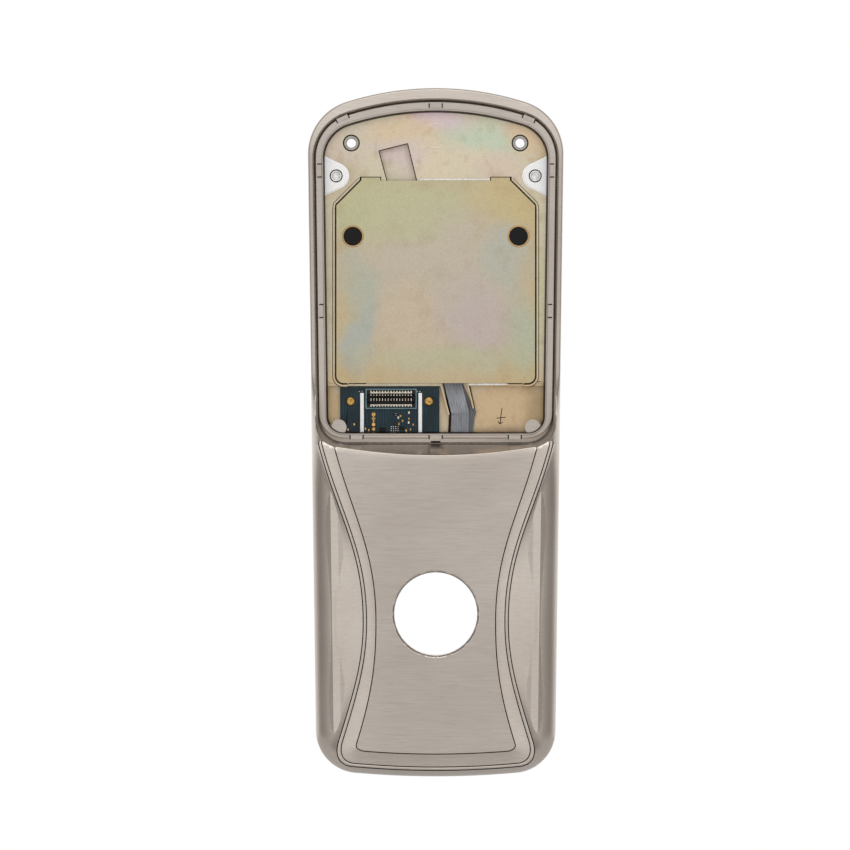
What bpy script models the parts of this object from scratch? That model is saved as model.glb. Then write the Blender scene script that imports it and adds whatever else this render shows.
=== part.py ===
"""Outside escutcheon of a keypad lock, with its keypad and lever taken off.

X is to the right, Z is up, and the front of the lock faces -Y. The origin is the
axis of the lever hole at the door's face. A "depth" is a distance from the door
towards the front, so a point at depth d has y = -d. All lengths are in metres.
"""

import math

import bmesh
import bpy
from mathutils import Matrix, Vector

# --- housing: overall shape -------------------------------------------------
HOUSING_HEIGHT = 0.2443        # bottom edge to the crown of the top arc
LEVER_TO_BOTTOM = 0.0578       # lever axis above the bottom edge
BOTTOM_Z = -LEVER_TO_BOTTOM
TOP_Z = BOTTOM_Z + HOUSING_HEIGHT
FOOT_HALF_WIDTH = 0.0423       # half width where the sides would meet the bottom edge
HEAD_HALF_WIDTH = 0.04575      # half width where the sides would meet the crown
TOP_ARC_RADIUS = 0.105
TOP_CORNER_RADIUS = 0.0194
BOTTOM_ARC_RADIUS = 0.322
BOTTOM_CORNER_RADIUS = 0.0152
NEARLY_STRAIGHT = 10.0         # arc radius of an edge that only looks straight

# --- housing: depths and walls ----------------------------------------------
BODY_DEPTH = 0.028             # door to the front of the lower body
RIM_DEPTH = 0.015              # door to the front edge of the low rim
LEDGE_DEPTH = 0.012            # door to the ledge that the keypad rests on
LEDGE_THICKNESS = 0.003
SIDE_WALL = 0.0022
FRONT_SKIN = 0.0025
EDGE_ROUND = 0.009             # roll-over of the lower body's front edge
GASKET_THICKNESS = 0.0012
GASKET_WIDTH = 0.0024
GASKET_INSET = 0.0003

# --- housing: keypad bay ------------------------------------------------------
BAY_SIDE_INSET = 0.0021        # outside of the housing to the rim's inner face
BAY_TOP_DROP = 0.0045
BAY_TOP_RADIUS = 0.106
BAY_TOP_CORNER = 0.017
BAY_BOTTOM_CORNER = 0.010
BAY_FLOOR_Z = 0.0599           # bottom of the bay at the depth of the ledge
BAY_SILL_DROP = 0.0037         # how far the bay's bottom slopes down to the front
BAY_SILL_RADIUS = 0.23         # the sill's front edge sags in this arc
BAY_DRAFT = 0.0004             # the bay's walls open by this much towards the front
LEDGE_SIDE_INSET = 0.0054      # outside of the housing to the ledge's inner edge
LEDGE_TOP_DROP = 0.0082
LEDGE_TOP_RADIUS = 0.1045
LEDGE_TOP_CORNER = 0.0122
LEDGE_BOTTOM_CORNER = 0.0057
LEDGE_BOTTOM_Z = 0.0639
GROOVE_WIDTH = 0.0022
GROOVE_DEPTH = 0.0018
SHOULDER_LENGTH = 0.026        # the rim climbs to the lower body over this length
PAD_LENGTH = 0.0045            # small stops on the ledge
PAD_WIDTH = 0.0016
PAD_HEIGHT = 0.0008
PAD_SPREAD = 0.0281            # between the stops along the bottom
PAD_SIDE_DROPS = (0.0293, 0.0792)    # the side stops below the crown

# --- lever hole and bolts -----------------------------------------------------
LEVER_HOLE_RADIUS = 0.0147
LEVER_COLLAR_WALL = 0.002
LEVER_COLLAR_DEPTH = 0.018     # door to the rear end of the collar
BOLT_THREAD_RADIUS = 0.00165
POST_X = 0.026
POST_Z = -0.038
POST_RADIUS = 0.0035
POST_SOCKET_WALL = 0.0018
POST_SOCKET_LENGTH = 0.0075

# --- mounting plate -----------------------------------------------------------
SHEET = 0.0015
PLATE_DEPTH = LEDGE_DEPTH - LEDGE_THICKNESS - 0.0005    # front of the plate's upper part
LOWER_PLATE_DEPTH = PLATE_DEPTH - 0.004                 # front of its stepped-back lower part
PLATE_STEP_Z = 0.0822
PLATE_BOTTOM_Z = 0.033
CHANNEL_TOP_WIDTH = 0.0104
CHANNEL_FOOT_WIDTH = 0.0084
CHANNEL_WALL = 0.0006
CHANNEL_FLOOR_DEPTH = PLATE_DEPTH - 0.003
CHANNEL_TOP = (-0.0151, TOP_Z - 0.0210)
CHANNEL_FOOT = (0.0091, 0.0715)
NUT_X = 0.030
NUT_Z = TOP_Z - 0.0194
NUT_COLLAR_RADIUS = 0.00265
NUT_BODY_RADIUS = 0.0036
NUT_REAR_DEPTH = 0.002

# --- cable cover --------------------------------------------------------------
COVER_SHEET = 0.001
COVER_HALF_WIDTH = 0.0353
COVER_TOP_Z = TOP_Z - 0.0328
COVER_BOTTOM_Z = 0.0817
COVER_CHAMFER = 0.0088
COVER_CORNER = 0.0025
TAB_X = 0.0232
TAB_WIDTH = 0.0070
TAB_HEIGHT = 0.0011
SLOT_X = 0.0278
SLOT_WIDTH = 0.0062
SLOT_HEIGHT = 0.0014
PLUG_X = 0.02945
PLUG_Z = TOP_Z - 0.0526
PLUG_HEAD_RADIUS = 0.00315
PLUG_HEAD_THICKNESS = 0.0005
PLUG_STEM_RADIUS = 0.0021

# --- keypad ears --------------------------------------------------------------
EAR_X = 0.0354
EAR_Z = TOP_Z - 0.0311
EAR_NOSE_RADIUS = 0.0043
EAR_HALF_HEIGHT = 0.0078
EAR_OUTER_X = 0.0415
EAR_THICKNESS = 0.003
EAR_DEPTH = PLATE_DEPTH - 0.0001
EAR_PIN_RADIUS = 0.0020
EAR_PIN_BORE = 0.0014

# --- controller board ---------------------------------------------------------
BOARD_LEFT_X = -0.0340
BOARD_RIGHT_X = 0.0013
BOARD_BOTTOM_Z = 0.046
BOARD_THICKNESS = 0.0016
BOARD_DEPTH = PLATE_DEPTH - 0.0009
BOARD_SCREW_INSET = 0.0037
BOARD_SCREW_DROP = 0.0052
BOARD_SCREW_HEAD_RADIUS = 0.00165
BOARD_SCREW_HEAD_HEIGHT = 0.0009
BOARD_SCREW_RADIUS = 0.0009
STANDOFF_RADIUS = 0.0022
STANDOFF_SHANK_RADIUS = 0.0016
HEADER_X = -0.01585
HEADER_WIDTH = 0.0168
HEADER_TOP_Z = 0.0777
HEADER_HEIGHT = 0.0032
HEADER_DEPTH = 0.0022
CONTACT_COUNT = 15
CONTACT_PITCH = 0.00102
CONTACT_WIDTH = 0.0005
CONTACT_FOOT = 0.0009
CONTACT_THICKNESS = 0.0003
SHROUD_HALF_WIDTH = 0.0091
SHROUD_TOP_Z = 0.0797
SHROUD_BOTTOM_Z = 0.0725
SHROUD_WALL = 0.0004
SHROUD_HEIGHT = 0.0007
RAIL_WIDTH = 0.0013
RAIL_HEIGHT = 0.0008
RAIL_TOP_Z = 0.0782
RAIL_BOTTOM_Z = 0.052
RAIL_MARGIN = 0.0006           # shroud to the near edge of each rail
CHIP_SIZE = 0.0080
CHIP_HEIGHT = 0.0010
CHIP_Z = 0.0535

# --- ribbon cable ------------------------------------------------------------
RIBBON_WIDTH = 0.0056
RIBBON_THICKNESS = 0.0007
RIBBON_TOP = (-0.0092, TOP_Z - 0.0445)
RIBBON_FOLD = (0.0087, 0.0712)
RIBBON_END = (0.0083, 0.0445)
SOCKET_WIDTH = 0.0084
SOCKET_HEIGHT = 0.0065
SOCKET_DEPTH = 0.0036

# --- fasteners and clearances ---------------------------------------------------
PLATE_SCREW_RADIUS = 0.0010
PLATE_SCREW_HEAD_RADIUS = 0.0022
PLATE_SCREW_HEAD_HEIGHT = 0.0011
LUG_RADIUS = 0.0025
LUG_X = 0.0345
LUG_Z = 0.0660
LUG_LENGTH = 0.0045
BOSS_X = 0.029
BOSS_Z = 0.0475
BOSS_RADIUS = 0.0027
GAP = 0.0003                   # between pieces that touch
OVERCUT = 0.001                # how far a cutter passes the face it opens
ARC_STEPS = 6

REAR_DEPTH = GASKET_THICKNESS + GAP
PLATE_REAR_DEPTH = PLATE_DEPTH - SHEET
COVER_DEPTH = PLATE_DEPTH + GAP + COVER_SHEET
LOWER_PLATE_REAR = LOWER_PLATE_DEPTH - SHEET
BOARD_TOP_Z = PLATE_STEP_Z - SHEET - GAP

NICKEL = ("satin nickel plated zinc", (0.48, 0.43, 0.39), 0.32, 1.0)
CHROMATE = ("yellow chromate steel", (0.56, 0.48, 0.29), 0.38, 0.9)
STEEL = ("bright zinc steel", (0.55, 0.55, 0.56), 0.35, 1.0)
BRASS = ("brass", (0.66, 0.44, 0.16), 0.35, 1.0)
NYLON = ("white nylon", (0.86, 0.86, 0.86), 0.5, 0.0)
BLACK_RUBBER = ("black rubber", (0.015, 0.015, 0.017), 0.75, 0.0)
BLACK_PLASTIC = ("black plastic", (0.03, 0.03, 0.032), 0.45, 0.0)
BOARD_LACQUER = ("teal board lacquer", (0.016, 0.042, 0.05), 0.35, 0.0)
RIBBON_PVC = ("grey ribbon insulation", (0.25, 0.25, 0.27), 0.5, 0.0)
TINNED = ("tinned copper", (0.7, 0.68, 0.62), 0.3, 1.0)


# --- scene and materials ---------------------------------------------------------

def clear_scene():
    for old in list(bpy.data.objects):
        bpy.data.objects.remove(old, do_unlink=True)


def new_collection(name):
    collection = bpy.data.collections.new(name)
    bpy.context.scene.collection.children.link(collection)
    return collection


def material(finish):
    name, colour, roughness, metallic = finish
    found = bpy.data.materials.get(name)
    if found:
        return found
    made = bpy.data.materials.new(name)
    made.use_nodes = True
    shader = made.node_tree.nodes["Principled BSDF"]
    shader.inputs["Base Color"].default_value = (*colour, 1.0)
    shader.inputs["Roughness"].default_value = roughness
    shader.inputs["Metallic"].default_value = metallic
    return made


def add_mesh(name, bm, finish=None):
    """Makes an object from bm: a part with its finish, or a cutter without one."""
    bmesh.ops.recalc_face_normals(bm, faces=bm.faces)
    mesh = bpy.data.meshes.new(name)
    bm.to_mesh(mesh)
    bm.free()
    made = bpy.data.objects.new(name, mesh)
    if finish:
        mesh.materials.append(material(finish))
        PARTS.objects.link(made)
    else:
        made.hide_render = True
        made.display_type = "WIRE"
        CUTTERS.objects.link(made)
    return made


def change(target, tool, operation):
    modifier = target.modifiers.new(tool.name, "BOOLEAN")
    modifier.operation = operation
    modifier.object = tool
    modifier.solver = "EXACT"


def cut(target, *tools):
    for tool in tools:
        change(target, tool, "DIFFERENCE")


def join(target, *tools):
    for tool in tools:
        change(target, tool, "UNION")


# --- basic shapes -------------------------------------------------------------------

def prism(name, outline, rear, front, finish=None, front_round=0.0):
    """A flat outline of (x, z) points, thick from depth rear to depth front."""
    bm = bmesh.new()
    verts = [bm.verts.new((x, -rear, z)) for x, z in outline]
    face = bm.faces.new(verts)
    grown = bmesh.ops.extrude_face_region(bm, geom=[face])
    moved = [item for item in grown["geom"] if isinstance(item, bmesh.types.BMVert)]
    bmesh.ops.translate(bm, verts=moved, vec=(0.0, rear - front, 0.0))
    if front_round:
        front_verts = set(moved)
        edges = [edge for edge in bm.edges if set(edge.verts) <= front_verts]
        bmesh.ops.bevel(bm, geom=edges, offset=front_round, segments=4, profile=0.5,
                        affect="EDGES")
    return add_mesh(name, bm, finish)


def box(name, x_range, z_range, rear, front, finish=None):
    bm = bmesh.new()
    bmesh.ops.create_cube(bm, size=1.0)
    size = (x_range[1] - x_range[0], front - rear, z_range[1] - z_range[0])
    centre = Vector((sum(x_range) / 2, -(rear + front) / 2, sum(z_range) / 2))
    bmesh.ops.transform(bm, matrix=Matrix.Translation(centre) @ Matrix.Diagonal((*size, 1.0)),
                        verts=bm.verts)
    return add_mesh(name, bm, finish)


def rod(name, x, z, radius, rear, front, finish=None, sides=20):
    bm = bmesh.new()
    place = Matrix.Translation((x, -(rear + front) / 2, z)) @ Matrix.Rotation(math.pi / 2, 4, "X")
    bmesh.ops.create_cone(bm, cap_ends=True, segments=sides, radius1=radius, radius2=radius,
                          depth=front - rear, matrix=place)
    return add_mesh(name, bm, finish)


def turned(name, x, z, profile, finish, sides=20):
    """Spins (radius, depth) points about an axis along Y.

    The points run front to rear down the outer side. A profile that ends where it
    starts makes a ring; one that starts and ends on the axis makes a plain piece.
    """
    bm = bmesh.new()
    ring = profile[0] == profile[-1]
    verts = [bm.verts.new((radius, 0.0, depth)) for radius, depth in profile[:len(profile) - ring]]
    followers = verts[1:] + verts[:1] if ring else verts[1:]
    for first, second in zip(verts, followers):
        bm.edges.new((first, second))
    mesh = bpy.data.meshes.new(name)
    bm.to_mesh(mesh)
    bm.free()
    mesh.materials.append(material(finish))
    made = bpy.data.objects.new(name, mesh)
    made.location = (x, 0.0, z)
    made.rotation_euler = (math.pi / 2, 0.0, 0.0)
    PARTS.objects.link(made)
    screw = made.modifiers.new("spin", "SCREW")
    screw.steps = sides
    screw.render_steps = sides
    screw.use_merge_vertices = True
    screw.merge_threshold = 0.00001
    return made


def loft(name, rings, finish=None):
    """Joins closed rings of 3-D points, all with the same number of points."""
    bm = bmesh.new()
    loops = [[bm.verts.new(point) for point in ring] for ring in rings]
    count = len(loops[0])
    for near, far in zip(loops, loops[1:]):
        for i in range(count):
            j = (i + 1) % count
            bm.faces.new((near[i], near[j], far[j], far[i]))
    bm.faces.new(loops[0])
    bm.faces.new(loops[-1])
    return add_mesh(name, bm, finish)


# --- outlines --------------------------------------------------------------------------

def arc(centre, radius, start, end, steps=ARC_STEPS):
    angles = [start + (end - start) * i / steps for i in range(steps + 1)]
    return [centre + radius * Vector((math.cos(a), math.sin(a))) for a in angles]


def side_half_width(z):
    slope = (HEAD_HALF_WIDTH - FOOT_HALF_WIDTH) / HOUSING_HEIGHT
    return FOOT_HALF_WIDTH + (z - BOTTOM_Z) * slope


def corner_centre(inset, arc_centre, arc_radius, corner_radius, side):
    """Centre of the corner that runs from the right side line into an end arc."""
    low = Vector((side_half_width(BOTTOM_Z) - inset, BOTTOM_Z))
    high = Vector((side_half_width(TOP_Z) - inset, TOP_Z))
    along = (high - low).normalized()
    inward = Vector((-along.y, along.x))
    start = low + corner_radius * inward - arc_centre
    middle = start.dot(along)
    reach = math.sqrt(middle ** 2 - start.dot(start) + (arc_radius - corner_radius) ** 2)
    return arc_centre + start + along * (side * reach - middle)


def arched_outline(inset, top, top_radius, top_corner, bottom, bottom_radius, bottom_corner):
    """Outline with arched ends and sides that run parallel to the housing's sides."""
    tilt = math.atan((HEAD_HALF_WIDTH - FOOT_HALF_WIDTH) / HOUSING_HEIGHT)
    top_centre = Vector((0.0, top - top_radius))
    corner = corner_centre(inset, top_centre, top_radius, top_corner, 1)
    meeting = math.atan2(corner.y - top_centre.y, corner.x)
    right = arc(top_centre, top_radius, math.pi / 2, meeting)
    right += arc(corner, top_corner, meeting, -tilt)[1:]
    bottom_centre = Vector((0.0, bottom + bottom_radius))
    corner = corner_centre(inset, bottom_centre, bottom_radius, bottom_corner, -1)
    meeting = math.atan2(corner.y - bottom_centre.y, corner.x)
    right += arc(corner, bottom_corner, -tilt, meeting)
    right += arc(bottom_centre, bottom_radius, meeting, -math.pi / 2)[1:]
    left = [Vector((-point.x, point.y)) for point in reversed(right[1:-1])]
    return right + left


def housing_outline(inset):
    return arched_outline(inset, TOP_Z - inset, TOP_ARC_RADIUS - inset, TOP_CORNER_RADIUS - inset,
                          BOTTOM_Z + inset, BOTTOM_ARC_RADIUS - inset,
                          BOTTOM_CORNER_RADIUS - inset)


def bay_outline(spread, floor, floor_radius):
    return arched_outline(BAY_SIDE_INSET - spread, TOP_Z - BAY_TOP_DROP + spread,
                          BAY_TOP_RADIUS + spread, BAY_TOP_CORNER + spread, floor, floor_radius,
                          BAY_BOTTOM_CORNER + spread)


def ledge_outline():
    return arched_outline(LEDGE_SIDE_INSET, TOP_Z - LEDGE_TOP_DROP, LEDGE_TOP_RADIUS,
                          LEDGE_TOP_CORNER, LEDGE_BOTTOM_Z, NEARLY_STRAIGHT, LEDGE_BOTTOM_CORNER)


def plate_outline(inset, floor):
    return arched_outline(inset, TOP_Z - inset, TOP_ARC_RADIUS - inset, TOP_CORNER_RADIUS - inset,
                          floor, NEARLY_STRAIGHT, LEDGE_BOTTOM_CORNER)


def at_depth(outline, depth):
    return [(point.x, -depth, point.y) for point in outline]


def channel_outline(grow, above, below):
    """The cable channel's tapered outline, wider by grow a side and longer at its ends."""
    top = Vector(CHANNEL_TOP)
    foot = Vector(CHANNEL_FOOT)
    upward = (top - foot).normalized()
    across = Vector((upward.y, -upward.x))
    top_reach = across * (CHANNEL_TOP_WIDTH / 2 + grow)
    foot_reach = across * (CHANNEL_FOOT_WIDTH / 2 + grow)
    top += upward * above
    foot -= upward * below
    return [top - top_reach, top + top_reach, foot + foot_reach, foot - foot_reach]


def ear_outline(side, grow):
    centre = Vector((EAR_X, EAR_Z))
    nose = arc(centre, EAR_NOSE_RADIUS + grow, math.radians(120), math.radians(240))
    reach = EAR_HALF_HEIGHT + grow
    edge = EAR_OUTER_X + grow
    points = [Vector((edge, EAR_Z + reach))] + nose + [Vector((edge, EAR_Z - reach))]
    return [Vector((side * point.x, point.y)) for point in points]


# --- housing ------------------------------------------------------------------------------

def shoulder_cutter():
    """Everything in front of the low rim, with a slope up to the lower body's shoulders."""
    rise = BODY_DEPTH - RIM_DEPTH
    slope = [(BAY_FLOOR_Z + SHOULDER_LENGTH * (1 - math.cos(angle)),
              BODY_DEPTH - rise * math.sin(angle))
             for angle in (math.radians(90) * i / ARC_STEPS for i in range(ARC_STEPS + 1))]
    beyond = BODY_DEPTH + OVERCUT
    side_view = [(BAY_FLOOR_Z, beyond)] + slope + [(TOP_Z + OVERCUT, RIM_DEPTH),
                                                  (TOP_Z + OVERCUT, beyond)]
    reach = HEAD_HALF_WIDTH + OVERCUT
    rings = [[(x, -depth, z) for z, depth in side_view] for x in (-reach, reach)]
    return loft("shoulder_cut", rings)


def bay_cutter():
    slope = (BODY_DEPTH + OVERCUT - LEDGE_DEPTH) / (BODY_DEPTH - LEDGE_DEPTH)
    rear = bay_outline(0.0, BAY_FLOOR_Z, NEARLY_STRAIGHT)
    sill = BAY_FLOOR_Z - BAY_SILL_DROP * slope
    front = bay_outline(BAY_DRAFT, sill, BAY_SILL_RADIUS)
    return loft("bay_cut", [at_depth(rear, LEDGE_DEPTH),
                            at_depth(front, BODY_DEPTH + OVERCUT)])


def lower_cavity_cutter():
    inset = SIDE_WALL
    roof = BAY_FLOOR_Z - BAY_SILL_DROP - FRONT_SKIN
    outline = arched_outline(inset, roof, NEARLY_STRAIGHT, BAY_BOTTOM_CORNER,
                             BOTTOM_Z + inset, BOTTOM_ARC_RADIUS - inset,
                             BOTTOM_CORNER_RADIUS - inset)
    return prism("lower_cavity", outline, 0.0, BODY_DEPTH - FRONT_SKIN,
                 front_round=EDGE_ROUND - SIDE_WALL)


def ledge_pads():
    """Small stops along the ledge: top, sides and bottom."""
    depth = (LEDGE_DEPTH - PAD_HEIGHT, LEDGE_DEPTH + PAD_HEIGHT)
    half = PAD_LENGTH / 2
    lower_z = (LEDGE_BOTTOM_Z - PAD_WIDTH, LEDGE_BOTTOM_Z - GAP)
    pads = [box("pad_bottom_%d" % i, (x - half, x + half), lower_z, *depth)
            for i, x in enumerate((-PAD_SPREAD, 0.0, PAD_SPREAD))]
    top_z = TOP_Z - (BAY_TOP_DROP + LEDGE_TOP_DROP) / 2
    pads.append(box("pad_top", (-half, half), (top_z - PAD_WIDTH / 2, top_z + PAD_WIDTH / 2), *depth))
    inset = (BAY_SIDE_INSET + LEDGE_SIDE_INSET) / 2
    for z in (TOP_Z - drop for drop in PAD_SIDE_DROPS):
        for side in (-1, 1):
            x = side * (side_half_width(z) - inset)
            pads.append(box("pad_side_%d_%d" % (side, round(z * 1000)),
                            (x - PAD_WIDTH / 2, x + PAD_WIDTH / 2), (z - half, z + half), *depth))
    return pads


def post_sockets():
    front = BODY_DEPTH - FRONT_SKIN / 2
    rear = front - POST_SOCKET_LENGTH
    bore = POST_RADIUS + GAP
    rings = [rod("post_socket_%d" % side, side * POST_X, POST_Z, bore + POST_SOCKET_WALL, rear, front)
             for side in (-1, 1)]
    bores = [rod("post_bore_%d" % side, side * POST_X, POST_Z, bore, 0.0, BODY_DEPTH - FRONT_SKIN)
             for side in (-1, 1)]
    return rings, bores


def plate_screw_places():
    """(x, z, how far the screw's boss reaches to the front) for each plate screw."""
    places = [(side * LUG_X, LUG_Z, LOWER_PLATE_DEPTH + GAP + LUG_LENGTH) for side in (-1, 1)]
    places += [(side * BOSS_X, BOSS_Z, BODY_DEPTH - FRONT_SKIN / 2) for side in (-1, 1)]
    return places


def build_housing():
    housing = prism("housing", housing_outline(0.0), REAR_DEPTH, BODY_DEPTH, NICKEL, EDGE_ROUND)
    ledge_rear = LEDGE_DEPTH - LEDGE_THICKNESS
    cut(housing,
        prism("rear_cavity", housing_outline(SIDE_WALL), 0.0, ledge_rear),
        lower_cavity_cutter(),
        shoulder_cutter(),
        bay_cutter(),
        prism("ledge_window", ledge_outline(), 0.0, LEDGE_DEPTH + OVERCUT))
    groove_reach = LUG_X
    cut(housing, box("sill_groove", (-groove_reach, groove_reach),
                     (BAY_FLOOR_Z, BAY_FLOOR_Z + GROOVE_WIDTH),
                     LEDGE_DEPTH - GROOVE_DEPTH, LEDGE_DEPTH + OVERCUT))
    collar = rod("lever_collar", 0.0, 0.0, LEVER_HOLE_RADIUS + LEVER_COLLAR_WALL,
                 LEVER_COLLAR_DEPTH, BODY_DEPTH - FRONT_SKIN / 2, sides=40)
    sockets, bores = post_sockets()
    join(housing, collar, *sockets, *ledge_pads())
    for i, (x, z, front) in enumerate(plate_screw_places()):
        radius = BOSS_RADIUS if z < LEDGE_BOTTOM_Z - LUG_RADIUS else LUG_RADIUS
        join(housing, rod("screw_boss_%d" % i, x, z, radius, LOWER_PLATE_DEPTH + GAP, front))
        cut(housing, rod("screw_bore_%d" % i, x, z, PLATE_SCREW_RADIUS + GAP, 0.0,
                         min(front, LEDGE_DEPTH) - SHEET, sides=12))
    cut(housing, *bores,
        rod("lever_hole", 0.0, 0.0, LEVER_HOLE_RADIUS, 0.0, BODY_DEPTH + OVERCUT, sides=40))
    return housing


def build_gasket():
    gasket = prism("door_gasket", housing_outline(GASKET_INSET), 0.0, GASKET_THICKNESS, BLACK_RUBBER)
    inner = housing_outline(GASKET_INSET + GASKET_WIDTH)
    cut(gasket, prism("gasket_window", inner, -OVERCUT, GASKET_THICKNESS + OVERCUT))


def build_posts():
    front = BODY_DEPTH - FRONT_SKIN - GAP
    for side, name in ((-1, "left"), (1, "right")):
        post = rod("bolt_post_" + name, side * POST_X, POST_Z, POST_RADIUS, REAR_DEPTH, front,
                   STEEL, sides=6)
        cut(post, rod("bolt_thread_" + name, side * POST_X, POST_Z, BOLT_THREAD_RADIUS, 0.0,
                      front - POST_RADIUS, sides=16))


# --- mounting plate and what it carries ------------------------------------------------------

def slots_for_cover():
    """(x range, z range) of the slots along the cover's top and bottom edges."""
    slots = []
    for side in (-1, 1):
        half = TAB_WIDTH / 2 + GAP
        middle = side * TAB_X
        slots.append(((middle - half, middle + half),
                      (COVER_TOP_Z - GAP, COVER_TOP_Z + TAB_HEIGHT + GAP)))
        half = SLOT_WIDTH / 2
        middle = side * SLOT_X
        slots.append(((middle - half, middle + half),
                      (COVER_BOTTOM_Z - GAP, COVER_BOTTOM_Z - GAP + SLOT_HEIGHT)))
    return slots


def lower_plate():
    """The stepped-back lower part and the step up to the upper part, as one bent sheet."""
    half = side_half_width(PLATE_BOTTOM_Z) - SIDE_WALL - GAP
    step_front = PLATE_DEPTH - SHEET / 4
    side_view = [(PLATE_BOTTOM_Z, LOWER_PLATE_REAR), (PLATE_BOTTOM_Z, LOWER_PLATE_DEPTH),
                 (PLATE_STEP_Z - SHEET, LOWER_PLATE_DEPTH), (PLATE_STEP_Z - SHEET, step_front),
                 (PLATE_STEP_Z, step_front), (PLATE_STEP_Z, LOWER_PLATE_REAR)]
    return loft("lower_plate", [[(x, -depth, z) for z, depth in side_view] for x in (-half, half)])


def build_plate():
    inset = SIDE_WALL + GAP
    plate = prism("mounting_plate", plate_outline(inset, PLATE_STEP_Z - SHEET / 2),
                  PLATE_REAR_DEPTH, PLATE_DEPTH, CHROMATE)
    join(plate, lower_plate(),
         prism("channel_tray", channel_outline(CHANNEL_WALL, CHANNEL_WALL, 0.0),
               CHANNEL_FLOOR_DEPTH - SHEET, PLATE_DEPTH - SHEET / 2))
    cut(plate, prism("channel_cut", channel_outline(0.0, 0.0, OVERCUT), CHANNEL_FLOOR_DEPTH,
                     PLATE_DEPTH + OVERCUT))
    below = LOWER_PLATE_REAR - OVERCUT
    above = PLATE_DEPTH + OVERCUT
    for i, (x_range, z_range) in enumerate(slots_for_cover()):
        cut(plate, box("cover_slot_%d" % i, x_range, z_range, below, above))
    for side in (-1, 1):
        cut(plate,
            prism("ear_notch_%d" % side, ear_outline(side, GAP), below, above),
            rod("nut_hole_%d" % side, side * NUT_X, NUT_Z, NUT_COLLAR_RADIUS + GAP, below, above),
            rod("plug_hole_%d" % side, side * PLUG_X, PLUG_Z, PLUG_STEM_RADIUS + GAP, below, above))
    for i, (x, z, front) in enumerate(plate_screw_places()):
        cut(plate, rod("plate_screw_hole_%d" % i, x, z, PLATE_SCREW_RADIUS + GAP, below, above,
                       sides=12))
    for i, (x, z) in enumerate(board_screw_places()):
        cut(plate, rod("standoff_hole_%d" % i, x, z, STANDOFF_SHANK_RADIUS + GAP, below, above,
                       sides=16))


def build_plate_screws():
    for i, (x, z, front) in enumerate(plate_screw_places()):
        seat = LOWER_PLATE_REAR - GAP
        tip = min(front, LEDGE_DEPTH) - SHEET - GAP
        profile = [(0.0, tip), (PLATE_SCREW_RADIUS, tip), (PLATE_SCREW_RADIUS, seat),
                   (PLATE_SCREW_HEAD_RADIUS, seat),
                   (PLATE_SCREW_HEAD_RADIUS * 0.8, seat - PLATE_SCREW_HEAD_HEIGHT),
                   (0.0, seat - PLATE_SCREW_HEAD_HEIGHT)]
        turned("plate_screw_%d" % (i + 1), x, z, profile, STEEL, sides=16)


def build_clinch_nuts():
    shoulder = PLATE_REAR_DEPTH - GAP
    profile = [(BOLT_THREAD_RADIUS, PLATE_DEPTH), (NUT_COLLAR_RADIUS, PLATE_DEPTH),
               (NUT_COLLAR_RADIUS, shoulder), (NUT_BODY_RADIUS, shoulder),
               (NUT_BODY_RADIUS, NUT_REAR_DEPTH), (BOLT_THREAD_RADIUS, NUT_REAR_DEPTH),
               (BOLT_THREAD_RADIUS, PLATE_DEPTH)]
    for side, name in ((-1, "left"), (1, "right")):
        turned("clinch_nut_" + name, side * NUT_X, NUT_Z, profile, STEEL)


def build_ears():
    rear = EAR_DEPTH - EAR_THICKNESS
    bore = EAR_PIN_RADIUS + GAP
    floor = EAR_DEPTH - EAR_THICKNESS / 2
    profile = [(0.0, floor), (EAR_PIN_BORE, floor), (EAR_PIN_BORE, EAR_DEPTH),
               (EAR_PIN_RADIUS, EAR_DEPTH), (EAR_PIN_RADIUS, rear), (0.0, rear)]
    for side, name in ((-1, "left"), (1, "right")):
        ear = prism("keypad_ear_" + name, ear_outline(side, 0.0), rear, EAR_DEPTH, NYLON)
        cut(ear, rod("ear_bore_" + name, side * EAR_X, EAR_Z, bore, 0.0, EAR_DEPTH + OVERCUT))
        turned("ear_pin_" + name, side * EAR_X, EAR_Z, profile, STEEL)


# --- cable cover and its plugs -------------------------------------------------------------------

def cover_outline():
    """The cover's flat outline, with its two tabs standing up from the top edge."""
    half = COVER_HALF_WIDTH
    low = COVER_BOTTOM_Z + COVER_CORNER
    tab_top = COVER_TOP_Z + TAB_HEIGHT
    near = TAB_X - TAB_WIDTH / 2
    far = TAB_X + TAB_WIDTH / 2 - GAP
    right = [Vector((near, COVER_TOP_Z)), Vector((near, tab_top)), Vector((far, tab_top)),
             Vector((far, COVER_TOP_Z)), Vector((half - COVER_CHAMFER, COVER_TOP_Z)),
             Vector((half, COVER_TOP_Z - COVER_CHAMFER))]
    right += arc(Vector((half - COVER_CORNER, low)), COVER_CORNER, 0.0, -math.pi / 2, 4)
    return right + [Vector((-point.x, point.y)) for point in reversed(right)]


def build_cover():
    rear = PLATE_DEPTH + GAP
    cover = prism("cable_cover", cover_outline(), rear, COVER_DEPTH, CHROMATE)
    half = TAB_WIDTH / 2 - 2 * GAP
    seat = COVER_DEPTH - PLUG_HEAD_THICKNESS - GAP
    beyond = COVER_DEPTH + OVERCUT
    sides = (-1, 1)
    join(cover, *[box("cover_tongue_%d" % side, (side * TAB_X - half, side * TAB_X + half),
                      (COVER_TOP_Z + GAP / 3, COVER_TOP_Z + TAB_HEIGHT - GAP / 3),
                      PLATE_REAR_DEPTH, rear + COVER_SHEET / 2) for side in sides])
    cut(cover, *[rod("plug_seat_%d" % side, side * PLUG_X, PLUG_Z, PLUG_HEAD_RADIUS + GAP, seat,
                     beyond) for side in sides])
    cut(cover, *[rod("plug_way_%d" % side, side * PLUG_X, PLUG_Z, PLUG_STEM_RADIUS + GAP, 0.0,
                     beyond) for side in sides])


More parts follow.
